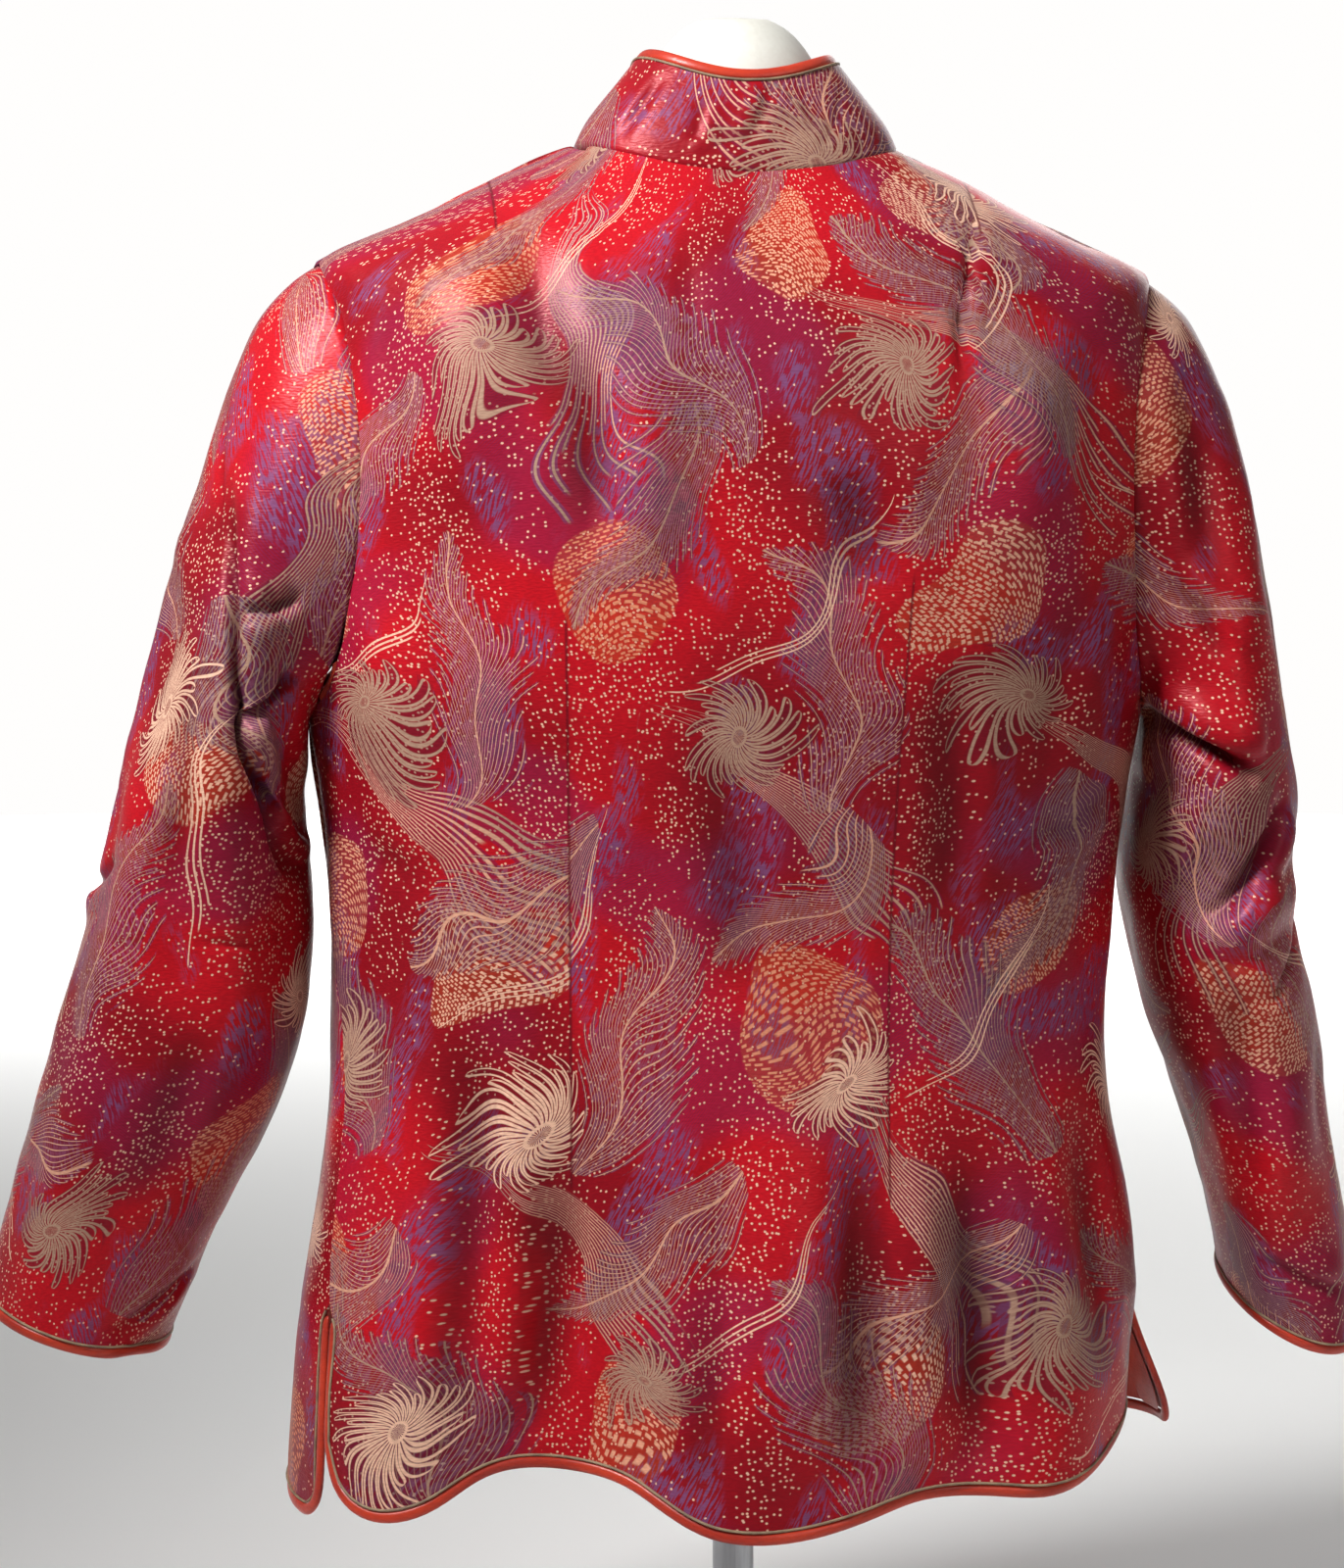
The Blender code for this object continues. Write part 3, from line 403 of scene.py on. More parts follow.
def plain(name, colour, dark, rough, grain, depth, stretch=(1.0, 1.0, 1.0), metal=0.0, sheen=0.0):
    """A material of one colour with fine grain in its tone, roughness and bump."""
    mat = bpy.data.materials.new(name)
    mat.use_nodes = True
    tree = mat.node_tree
    shader = tree.nodes["Principled BSDF"]
    place = tree.nodes.new("ShaderNodeTexCoord")
    shape = tree.nodes.new("ShaderNodeMapping")
    shape.inputs["Scale"].default_value = stretch
    tree.links.new(place.outputs["Object"], shape.inputs[0])
    where = Val(tree, shape.outputs[0])
    slow, fast = (fog(tree, where, grain * k, d, 0.6, flat=False) for k, d in ((0.06, 1.0), (1.0, 2.0)))
    tone = blend(tree, slow.step(0.35, 0.70) * 0.6 + fast.step(0.4, 0.7) * 0.3, colour, dark)
    tree.links.new(tone.s, shader.inputs["Base Color"])
    tree.links.new(((fast - 0.5) * 0.25 + rough).s, shader.inputs["Roughness"])
    shader.inputs["Metallic"].default_value = metal
    shader.inputs["Sheen Weight"].default_value = sheen
    bump = tree.nodes.new("ShaderNodeBump")
    bump.inputs["Strength"].default_value = 0.5
    bump.inputs["Distance"].default_value = depth
    tree.links.new((fast + slow * 2.0).s, bump.inputs["Height"])
    tree.links.new(bump.outputs[0], shader.inputs["Normal"])
    return mat


# Meshes
def merged(name):
    """The node's mesh with its split corners joined."""
    bm = bmesh.new()
    bm.from_mesh(NODES[name].data)
    bmesh.ops.remove_doubles(bm, verts=bm.verts, dist=MERGE)
    bmesh.ops.recalc_face_normals(bm, faces=bm.faces)
    bm.normal_update()
    return bm


def outside_of(bm):
    """Keeps only the faces on the outer side of a wall."""
    left, best = set(bm.faces), (0.0, None)
    while left:
        group, queue = set(), [left.pop()]
        while queue:
            face = queue.pop()
            group.add(face)
            for edge in face.edges:
                if len(edge.link_faces) != 2 or edge.calc_face_angle(9.0) > RIM_ANGLE:
                    continue
                for other in edge.link_faces:
                    if other in left:
                        left.discard(other)
                        queue.append(other)
        area = sum(f.calc_area() for f in group)
        middle = sum((f.calc_center_median() * f.calc_area() for f in group), Vector()) / area
        out = sum(f.normal.dot(f.calc_center_median() - middle) * f.calc_area() for f in group)
        if area * (1.0 if out > 0 else -1.0) > best[0]:
            best = (area, group)
    bmesh.ops.delete(bm, geom=[f for f in bm.faces if f not in best[1]], context="FACES")


def finished(obj):
    """A mesh with the object's modifiers applied, in place of its own."""
    graph = bpy.context.evaluated_depsgraph_get()
    graph.update()
    mesh = bpy.data.meshes.new_from_object(obj.evaluated_get(graph))
    obj.modifiers.clear()
    old, obj.data = obj.data, mesh
    bpy.data.meshes.remove(old)
    return obj


def added(name, bm):
    mesh = bpy.data.meshes.new(name)
    bm.to_mesh(mesh)
    bm.free()
    obj = bpy.data.objects.new(name, mesh)
    bpy.context.scene.collection.objects.link(obj)
    return obj


def smoothed(name, new, levels, outer=True):
    """The node's outer side, or all of it, as a smooth finer surface."""
    bm = merged(name)
    if outer:
        outside_of(bm)
    bmesh.ops.join_triangles(bm, faces=bm.faces, angle_face_threshold=0.6, angle_shape_threshold=0.8)
    obj = added(new, bm)
    if levels:
        sub = obj.modifiers.new("smooth", "SUBSURF")
        sub.levels = sub.render_levels = levels
        sub.boundary_smooth = "PRESERVE_CORNERS"
        finished(obj)
    return obj


def points(obj):
    co = np.empty(len(obj.data.vertices) * 3)
    obj.data.vertices.foreach_get("co", co)
    return co.reshape(-1, 3)


def directions(obj):
    no = np.empty(len(obj.data.vertices) * 3)
    obj.data.vertex_normals.foreach_get("vector", no)
    return no.reshape(-1, 3)


def put(obj, co):
    obj.data.vertices.foreach_set("co", co.ravel())
    obj.data.update()


def field(co, scale, seed, stretch=(1.0, 1.0, 1.0)):
    """Soft noise from -1 to 1 at each point, with bumps about 1 / scale metres across."""
    at = (co * np.array(stretch) * scale) + seed * 17.3
    return np.array([noise.noise(Vector(p)) for p in at])


def rims(obj):
    """The open edges of a surface as ordered runs of vertex indices."""
    bm = bmesh.new()
    bm.from_mesh(obj.data)
    edges = {e for e in bm.edges if e.is_boundary}
    runs = []
    while edges:
        edge = edges.pop()
        run = [edge.verts[0], edge.verts[1]]
        while True:
            step = next((e for e in run[-1].link_edges if e in edges), None)
            if step is None:
                break
            edges.discard(step)
            run.append(step.other_vert(run[-1]))
        runs.append([v.index for v in run])
    bm.free()
    return runs


def puckers(obj, co, normals, strength=1.0):
    """Small gathers along every sewn edge."""
    height = np.zeros(len(co))
    for number, run in enumerate(rims(obj)):
        rim = co[run]
        run_length = np.concatenate([[0.0], np.cumsum(np.linalg.norm(np.diff(rim, axis=0), axis=1))])
        tree = KDTree(len(rim))
        for k, p in enumerate(rim):
            tree.insert(p, k)
        tree.balance()
        for i, p in enumerate(co):
            _, k, far = tree.find(p)
            if far < PUCKER_REACH * 2.5:
                s = run_length[k] / PUCKER_LENGTH
                wave = noise.noise(Vector((s, number * 9.1, far * 40.0)))
                height[i] += wave * (1.0 - math.exp(-far / 0.0015)) * math.exp(-far / PUCKER_REACH)
    return co + normals * (height * PUCKER_DEPTH * strength)[:, None]


# Creases: which way they are looked up, kind, width, depth, and points across and up, in metres
def crease(co, surface, way, kind, width, depth, path):
    """How far each point moves for one crease: out along its normal, and in towards the crease line."""
    axis = {"back": Vector((0, 1, 0)), "front": Vector((0, -1, 0)),
            "left": Vector((1, 0, 0)), "right": Vector((-1, 0, 0))}[way]
    on = []
    fine = []
    for (a, b), (c, d) in zip(path, path[1:]):
        for t in np.linspace(0.0, 1.0, 6, endpoint=False):
            fine.append((a + (c - a) * t, b + (d - b) * t))
    fine.append(path[-1])
    for a, b in fine:
        start = Vector((a, 0, b)) if way in ("back", "front") else Vector((0, a, b))
        hit = surface.ray_cast(start + axis * 1.5, -axis)
        if hit[0] is not None:
            on.append(np.array(hit[0]))
    if len(on) < 3:
        return np.zeros(len(co)), np.zeros_like(co)
    on = np.array(on)
    best, where, side = np.full(len(co), 9.0), np.zeros(len(co)), np.zeros(len(co))
    towards = np.zeros_like(co)
    view = np.array(axis)
    total = len(on) - 1
    for k in range(total):
        a, b = on[k], on[k + 1]
        along = b - a
        t = np.clip(((co - a) @ along) / (along @ along + 1e-12), 0.0, 1.0)
        off = co - (a + t[:, None] * along)
        far = np.linalg.norm(off, axis=1)
        near = far < best
        best = np.where(near, far, best)
        where = np.where(near, (k + t) / total, where)
        side = np.where(near, np.sign(off @ np.cross(view, along)), side)
        towards[near] = -off[near] / (far[near, None] + 1e-9)
    taper = np.clip(np.sin(np.pi * np.clip(where, 0.0, 1.0)), 0.0, 1.0) ** 0.7
    q = best / width * side
    if kind == "fold":
        shape = (0.75 * np.exp(-((q - 0.95) / 0.55) ** 2) + 0.2 * np.exp(-((q + 1.0) / 0.5) ** 2)
                 - np.exp(-(q / 0.45) ** 2))
    elif kind == "roll":
        shape = np.exp(-q ** 2) - 0.3 * np.exp(-((np.abs(q) - 1.6) / 0.5) ** 2)
    elif kind == "dip":
        shape = -np.exp(-q ** 2) + 0.25 * np.exp(-((np.abs(q) - 1.9) / 0.7) ** 2)
    else:
        shape = -np.exp(-np.abs(q / 0.5) ** 1.4)
    pinch = 0.0 if kind in ("roll", "dip") else PINCH * depth * np.exp(-((np.abs(q) - 0.75) / 0.40) ** 2) * taper
    return depth * shape * taper, towards * np.reshape(pinch, (-1, 1))


def arc_table(ratio, count=1441):
    """Length round an ellipse with half width 1, against its angle."""
    turn = np.linspace(-math.tau, math.tau, count)
    x, y = np.cos(turn), np.sin(turn) / ratio
    steps = np.hypot(np.diff(x), np.diff(y))
    return turn, np.concatenate([[0.0], np.cumsum(steps)])


def add_lips(obj, bindings):
    """Turns the sewn edges in, under the panel next to them, so that no seam stands open."""
    bm = bmesh.new()
    bm.from_mesh(obj.data)
    bm.normal_update()
    edges = [e for e in bm.edges if e.is_boundary
             and min(bindings.find_nearest(v.co)[3] for v in e.verts) > 0.0026]
    outwards = {}
    for e in edges:
        face = e.link_faces[0]
        middle = (e.verts[0].co + e.verts[1].co) / 2
        out = (e.verts[1].co - e.verts[0].co).cross(face.normal).normalized()
        if out.dot(middle - face.calc_center_median()) < 0:
            out.negate()
        for v in e.verts:
            outwards.setdefault(v, Vector())
            outwards[v] += out
    under = {v: v.co + outwards[v].normalized() * LIP - v.normal * LIP_SUNK for v in outwards}
    made = bmesh.ops.extrude_edge_only(bm, edges=edges)["geom"]
    fresh = {v for v in made if isinstance(v, bmesh.types.BMVert)}
    places = {v: under[next(e.other_vert(v) for e in v.link_edges if e.other_vert(v) not in fresh)] for v in fresh}
    for v, spot in places.items():
        v.co = spot
    bm.to_mesh(obj.data)
    bm.free()


def lay_out(obj, kind, shift, fold_shading, middle=(0.0, 0.0)):
    """Writes the map "cut", where each face lies on the flat cloth in metres, and those of darts and of the folds'
    painted shade and painted highlight.
    """
    mesh = obj.data
    co = points(obj)
    loops = np.empty(len(mesh.loops), int)
    mesh.loops.foreach_get("vertex_index", loops)
    starts = np.empty(len(mesh.polygons), int)
    mesh.polygons.foreach_get("loop_start", starts)
    sizes = np.empty(len(mesh.polygons), int)
    mesh.polygons.foreach_get("loop_total", sizes)
    face = np.repeat(np.arange(len(mesh.polygons)), sizes)
    corner = co[loops]
    centre = np.add.reduceat(corner, starts, axis=0) / sizes[:, None]
    if kind == "sleeve":
        levels = np.linspace(co[:, 2].min(), co[:, 2].max(), 14)
        xs, ys = [], []
        for z in levels:
            near = np.abs(co[:, 2] - z) < 0.022
            xs.append((co[near, 0].min() + co[near, 0].max()) / 2)
            ys.append((co[near, 1].min() + co[near, 1].max()) / 2)

        def turn(p):
            return np.arctan2(p[:, 1] - np.interp(p[:, 2], levels, ys), p[:, 0] - np.interp(p[:, 2], levels, xs))

        home = turn(centre)[face]
        delta = (turn(corner) - home + math.pi) % math.tau - math.pi
        u, v = (home + delta) * 0.053, corner[:, 2] * 1.03
    else:
        ratio = 1.75 if kind == "body" else 1.25
        sign = 1.0 if kind == "body" and centre[:, 1].mean() > 0 else -1.0
        if kind == "collar":
            sign = 1.0
        dx = corner[:, 0] - middle[0]
        angle = np.arctan2(dx / 0.19, sign * corner[:, 1] * ratio / 0.19)
        turn, length = arc_table(ratio)
        radius = 0.19 if kind == "body" else 0.058
        u = np.interp(angle + math.pi / 2, turn, length) * radius * (1.0 if sign > 0 else -1.0)
        lift = np.clip((corner[:, 2] - 0.60) / 0.08, 0.0, 1.0)
        v = corner[:, 2] + (0.105 - np.abs(corner[:, 1])).clip(0.0) * 0.4 * lift * (kind == "body")
    layer = mesh.uv_layers.new(name="cut")
    layer.data.foreach_set("uv", np.stack([u + shift[0], v + shift[1]], axis=1).astype(np.float32).ravel())
    beside, taken = np.full((2, len(corner)), 0.2), np.zeros((2, len(corner)))
    if kind == "body" and sign > 0:
        for k, (line_x, line_z, spans) in enumerate(DARTS):
            beside[k] = corner[:, 0] - np.interp(corner[:, 2], line_z, line_x)
            for low, high in spans:
                share = np.clip((corner[:, 2] - low) / (high - low), 0.0, 1.0)
                taken[k] += DART_SHIFT * np.sin(math.pi * share) ** 0.8
    # Painted shade where folds sink and painted highlight where they rise; the turned-in lips get full painted shade
    painted_fold_shade = np.append(fold_shading, np.full(len(co) - len(fold_shading), 1.0))[loops]
    painted_fold_light = np.stack([np.clip(painted_fold_shade, 0.0, 1.0), np.clip(-painted_fold_shade, 0.0, 1.0)])
    for name, pair in (("sewn", beside), ("taken", taken), ("painted_fold_light", painted_fold_light)):
        mesh.uv_layers.new(name=name).data.foreach_set("uv", pair.T.astype(np.float32).ravel())


def shell(obj, looks, thick=SHELL):
    """Gives the surface its thickness inwards, with the lining's look inside."""
    obj.data.materials.clear()
    for look in looks:
        obj.data.materials.append(look)
    solid = obj.modifiers.new("thick", "SOLIDIFY")
    solid.thickness = thick
    solid.offset = -1.0
    solid.use_quality_normals = True
    solid.material_offset = 1 if len(looks) > 1 else 0
    finished(obj)
    obj.data.shade_smooth()
    obj.data.set_sharp_from_angle(angle=math.radians(55))
    return obj


# The back's darts, waist and shoulder on each side: across, up, and the heights that each is open between
DARTS = (((0.0860, 0.0860, 0.0870, 0.0885, 0.0890, 0.1170, 0.1172), (0.318, 0.404, 0.484, 0.559, 0.588, 0.758, 0.790),
          ((0.318, 0.588), (0.758, 0.822))),
         ((-0.0600, -0.0600, -0.0610, -0.0630, -0.0680, -0.1055, -0.1065),
          (0.312, 0.400, 0.464, 0.520, 0.606, 0.758, 0.790), ((0.312, 0.606), (0.758, 0.822))))
PANELS = {
    "back": ("body", 2, (0.00, 0.00)),
    "front_left": ("body", 2, (0.61, 0.07)),
    "front_right": ("body", 2, (1.33, 0.02)),
    "sleeve_left": ("sleeve", 3, (2.11, 0.09)),
    "sleeve_right": ("sleeve", 3, (2.87, 0.21)),
    "collar": ("collar", 3, (3.52, 0.05)),
}
CREASES = {
    "back": (
        ("back", "line", 0.0070, 0.0009, ((0.089, 0.585), (0.0885, 0.559), (0.087, 0.484), (0.086, 0.404),
                                          (0.086, 0.320))),
        ("back", "line", 0.0070, 0.0009, ((-0.068, 0.600), (-0.063, 0.520), (-0.061, 0.464), (-0.060, 0.319))),
        ("back", "dip", 0.0127, 0.0071, ((0.1346, 0.392), (0.1285, 0.336), (0.1313, 0.270), (0.1383, 0.212))),
        ("back", "dip", 0.0110, 0.0059, ((0.0930, 0.330), (0.0984, 0.251), (0.1030, 0.186))),
        ("back", "roll", 0.0170, 0.0058, ((0.1140, 0.370), (0.1150, 0.290), (0.1210, 0.196))),
        ("back", "dip", 0.0102, 0.0042, ((0.028, 0.270), (0.029, 0.230), (0.032, 0.182))),
        ("back", "dip", 0.0127, 0.0061, ((-0.050, 0.350), (-0.047, 0.265), (-0.043, 0.168))),
        ("back", "roll", 0.0190, 0.0067, ((-0.012, 0.360), (-0.010, 0.270), (-0.006, 0.170))),
        ("back", "dip", 0.0119, 0.0061, ((-0.099, 0.330), (-0.101, 0.255), (-0.104, 0.176))),
        ("back", "roll", 0.0150, 0.0058, ((-0.074, 0.330), (-0.076, 0.260), (-0.078, 0.172))),
        ("back", "dip", 0.0110, 0.0052, ((-0.156, 0.350), (-0.161, 0.290), (-0.166, 0.220))),
        ("back", "dip", 0.0127, 0.0054, ((0.0800, 0.705), (0.0770, 0.660), (0.0750, 0.615))),
        ("back", "roll", 0.0160, 0.0052, ((0.0560, 0.700), (0.0540, 0.655), (0.0560, 0.600))),
        ("back", "dip", 0.0127, 0.0052, ((-0.036, 0.650), (-0.044, 0.625), (-0.048, 0.595))),
        ("back", "dip", 0.0127, 0.0047, ((0.105, 0.760), (0.100, 0.720), (0.090, 0.670))),
        ("back", "roll", 0.0200, 0.0049, ((0.145, 0.740), (0.132, 0.690), (0.126, 0.630))),
        ("back", "roll", 0.0200, 0.0049, ((-0.130, 0.720), (-0.125, 0.670), (-0.120, 0.610))),
        ("back", "dip", 0.0119, 0.0042, ((0.022, 0.520), (0.012, 0.470), (0.008, 0.410))),
        ("back", "line", 0.0020, 0.0013, ((0.117, 0.783), (0.117, 0.774), (0.117, 0.764))),
        ("back", "line", 0.0020, 0.0013, ((-0.106, 0.783), (-0.106, 0.775), (-0.105, 0.764))),
        ("back", "fold", 0.0075, 0.0038, ((-0.105, 0.768), (-0.099, 0.748), (-0.091, 0.718), (-0.090, 0.690))),
        ("back", "line", 0.0040, 0.0016, ((-0.090, 0.698), (-0.097, 0.696), (-0.105, 0.693))),
        ("back", "line", 0.0040, 0.0014, ((0.157, 0.573), (0.147, 0.575), (0.138, 0.573))),
        ("back", "dip", 0.0102, 0.0042, ((-0.086, 0.560), (-0.090, 0.500), (-0.088, 0.440))),
        ("back", "fold", 0.0130, 0.0032, ((0.182, 0.480), (0.160, 0.468), (0.136, 0.470))),
        ("back", "fold", 0.0120, 0.0029, ((-0.176, 0.500), (-0.150, 0.486), (-0.128, 0.482))),
        ("back", "roll", 0.0150, 0.0029, ((0.185, 0.610), (0.168, 0.560), (0.160, 0.500))),
        ("back", "roll", 0.0140, 0.0029, ((-0.172, 0.600), (-0.158, 0.550), (-0.150, 0.490))),
        ("back", "line", 0.0100, 0.0018, ((0.030, 0.760), (0.034, 0.730), (0.030, 0.690))),
    ),
    "front_left": (
        ("front", "roll", 0.0200, 0.0048, ((0.095, 0.470), (0.104, 0.340), (0.108, 0.210))),
        ("front", "dip", 0.0102, 0.0036, ((0.060, 0.380), (0.064, 0.290), (0.068, 0.195))),
        ("front", "fold", 0.0120, 0.0042, ((0.188, 0.590), (0.160, 0.598), (0.132, 0.622))),
        ("front", "fold", 0.0110, 0.0031, ((0.186, 0.480), (0.160, 0.470), (0.130, 0.478))),
        ("front", "dip", 0.0076, 0.0026, ((0.120, 0.735), (0.128, 0.690), (0.120, 0.640))),
    ),
    "front_right": (
        ("front", "roll", 0.0180, 0.0042, ((-0.082, 0.440), (-0.090, 0.330), (-0.096, 0.200))),
        ("front", "dip", 0.0102, 0.0038, ((-0.130, 0.360), (-0.134, 0.280), (-0.138, 0.200))),
        ("front", "fold", 0.0130, 0.0045, ((-0.180, 0.575), (-0.152, 0.590), (-0.118, 0.600))),
        ("front", "dip", 0.0085, 0.0024, ((-0.050, 0.300), (-0.050, 0.250), (-0.054, 0.195))),
        ("front", "fold", 0.0100, 0.0031, ((-0.178, 0.455), (-0.150, 0.448), (-0.124, 0.452))),
    ),
    "sleeve_left": (
        ("back", "fold", 0.0125, 0.0091, ((0.240, 0.650), (0.2385, 0.600), (0.237, 0.555), (0.233, 0.522),
                                          (0.226, 0.496),
                                          (0.221, 0.479), (0.214, 0.466), (0.200, 0.455))),
        ("back", "line", 0.0150, 0.0123, ((0.238, 0.532), (0.224, 0.541), (0.210, 0.556))),
        ("back", "line", 0.0105, 0.0091, ((0.228, 0.522), (0.217, 0.500), (0.209, 0.482), (0.200, 0.470))),
        ("back", "roll", 0.0070, 0.0044, ((0.228, 0.532), (0.219, 0.506), (0.209, 0.480), (0.200, 0.462))),
        ("back", "fold", 0.0100, 0.0055, ((0.206, 0.592), (0.218, 0.588), (0.234, 0.584))),
        ("back", "line", 0.0050, 0.0016, ((0.257, 0.432), (0.235, 0.430), (0.209, 0.431))),
        ("back", "roll", 0.0130, 0.0039, ((0.263, 0.705), (0.259, 0.645), (0.256, 0.585))),
        ("back", "line", 0.0080, 0.0034, ((0.238, 0.700), (0.243, 0.660), (0.246, 0.615))),
        ("back", "roll", 0.0150, 0.0044, ((0.283, 0.610), (0.281, 0.520), (0.290, 0.430))),
        ("back", "dip", 0.0080, 0.0034, ((0.262, 0.560), (0.262, 0.500), (0.268, 0.450))),
        ("back", "fold", 0.0100, 0.0031, ((0.256, 0.270), (0.279, 0.250), (0.300, 0.236))),
        ("back", "roll", 0.0160, 0.0031, ((0.300, 0.390), (0.316, 0.330), (0.330, 0.270))),
        ("back", "dip", 0.0096, 0.0029, ((0.256, 0.390), (0.272, 0.340), (0.286, 0.300))),
        ("front", "fold", 0.0120, 0.0072, ((0.202, 0.500), (0.226, 0.486), (0.252, 0.480))),
        ("front", "fold", 0.0110, 0.0055, ((0.208, 0.450), (0.236, 0.452), (0.264, 0.462))),
        ("front", "fold", 0.0110, 0.0052, ((0.204, 0.560), (0.222, 0.548), (0.240, 0.520))),
        ("front", "roll", 0.0160, 0.0039, ((0.262, 0.420), (0.282, 0.350), (0.300, 0.280))),
        ("left", "fold", 0.0110, 0.0039, ((0.020, 0.470), (-0.002, 0.456), (-0.028, 0.452))),
        ("left", "roll", 0.0150, 0.0034, ((0.008, 0.640), (0.004, 0.570), (-0.006, 0.500))),
    ),
    "sleeve_right": (
        ("back", "fold", 0.0150, 0.0119, ((-0.172, 0.562), (-0.184, 0.545), (-0.193, 0.536), (-0.209, 0.525),
                                          (-0.224, 0.515), (-0.240, 0.508))),
        ("back", "line", 0.0130, 0.0125, ((-0.184, 0.556), (-0.189, 0.538), (-0.196, 0.514))),
        ("back", "fold", 0.0150, 0.0069, ((-0.258, 0.496), (-0.250, 0.480), (-0.238, 0.458), (-0.221, 0.436))),
        ("back", "roll", 0.0095, 0.0056, ((-0.275, 0.452), (-0.258, 0.444), (-0.240, 0.436), (-0.218, 0.424))),
        ("back", "line", 0.0075, 0.0042, ((-0.277, 0.440), (-0.266, 0.418), (-0.252, 0.395))),
        ("back", "roll", 0.0160, 0.0042, ((-0.256, 0.400), (-0.268, 0.345), (-0.281, 0.285))),
        ("back", "dip", 0.0096, 0.0032, ((-0.232, 0.410), (-0.246, 0.350), (-0.256, 0.300))),
        ("back", "dip", 0.0080, 0.0035, ((-0.206, 0.700), (-0.211, 0.650), (-0.216, 0.600))),
        ("back", "roll", 0.0130, 0.0042, ((-0.230, 0.690), (-0.236, 0.630), (-0.240, 0.560))),
        ("back", "fold", 0.0120, 0.0037, ((-0.196, 0.600), (-0.214, 0.582), (-0.226, 0.560))),
        ("back", "fold", 0.0100, 0.0030, ((-0.262, 0.262), (-0.284, 0.250), (-0.306, 0.246))),
        ("front", "fold", 0.0120, 0.0069, ((-0.196, 0.492), (-0.220, 0.480), (-0.246, 0.478))),
        ("front", "fold", 0.0110, 0.0052, ((-0.208, 0.440), (-0.232, 0.446), (-0.256, 0.458))),
        ("front", "fold", 0.0120, 0.0050, ((-0.196, 0.552), (-0.214, 0.540), (-0.232, 0.514))),
        ("front", "roll", 0.0160, 0.0035, ((-0.246, 0.410), (-0.262, 0.350), (-0.276, 0.290))),
        ("right", "fold", 0.0110, 0.0042, ((0.016, 0.480), (-0.006, 0.462), (-0.034, 0.456))),
        ("right", "roll", 0.0150, 0.0032, ((0.010, 0.650), (0.002, 0.580), (-0.010, 0.510))),
    ),
    "collar": (
        ("back", "fold", 0.0070, 0.0015, ((0.060, 0.802), (0.048, 0.818), (0.038, 0.832))),
        ("back", "fold", 0.0065, 0.0014, ((0.004, 0.796), (-0.006, 0.812), (-0.012, 0.828))),
        ("back", "line", 0.0060, 0.0013, ((-0.034, 0.798), (-0.042, 0.812), (-0.046, 0.828))),
        ("front", "fold", 0.0060, 0.0013, ((0.030, 0.790), (0.024, 0.806), (0.020, 0.820))),
        ("front", "line", 0.0060, 0.0012, ((-0.036, 0.790), (-0.030, 0.806), (-0.026, 0.820))),
    ),
}
SOFTNESS = {"back": 0.0021, "front_left": 0.0020, "front_right": 0.0020,
            "sleeve_left": 0.0024, "sleeve_right": 0.0024, "collar": 0.0006}


# Each panel's flat width all round and its length, its flat area, how it is held, on what, and the trim sewn to it
CUT = {
    "back": ((0.510, 0.620), 0.283, "draped", ["form_body"],
             ["binding_back", "facing_vent_back_left", "facing_vent_back_right"]),
    "front_left": ((0.320, 0.600), 0.158, "draped", ["form_body"],
                   ["binding_front_left", "facing_vent_front_left"]),
    "front_right": ((0.270, 0.600), 0.143, "draped", ["form_body"],
                    ["binding_front_right", "facing_vent_front_right"]),
    "sleeve_left": ((0.400, 0.560), 0.155, "hung", ["cloth_back", "cloth_front_left"], ["binding_cuff_left"]),
    "sleeve_right": ((0.370, 0.560), 0.148, "hung", ["cloth_back", "cloth_front_right"], ["binding_cuff_right"]),
    "collar": ((0.410, 0.055), 0.021, "draped", ["form_body"], ["binding_collar"]),
}


def solid_surface(prefix):
    """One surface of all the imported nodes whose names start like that."""
    co, faces = [], []
    for name, node in NODES.items():
        if name.startswith(prefix):
            first = len(co)
            co += [v.co.copy() for v in node.data.vertices]
            faces += [[first + k for k in p.vertices] for p in node.data.polygons]
    return BVHTree.FromPolygons(co, faces)


def add_piping(name, obj, co, normals, bindings, look):
    """The thin cord between a panel and its binding."""
    data = bpy.data.curves.new(f"piping_{name}", "CURVE")
    data.dimensions = "3D"
    data.bevel_depth = PIPING
    data.bevel_resolution = 2
    for run in rims(obj):
        beside = [bindings.find_nearest(Vector(co[k]))[3] < 0.0024 for k in run]
        part = []
        for k, near in list(zip(run, beside)) + [(None, False)]:
            if near:
                part.append(co[k] + normals[k] * PIPING * 0.5)
                continue
            if len(part) > 6:
                spline = data.splines.new("POLY")
                spline.points.add(len(part) - 1)
                spline.points.foreach_set("co", np.append(np.array(part), np.ones((len(part), 1)), axis=1).ravel())
            part = []
    if not data.splines:
        return []
    data.materials.append(look)
    tube = bpy.data.objects.new(f"piping_{name}", data)
    bpy.context.scene.collection.objects.link(tube)
    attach(tube, "root")
    return [tube]


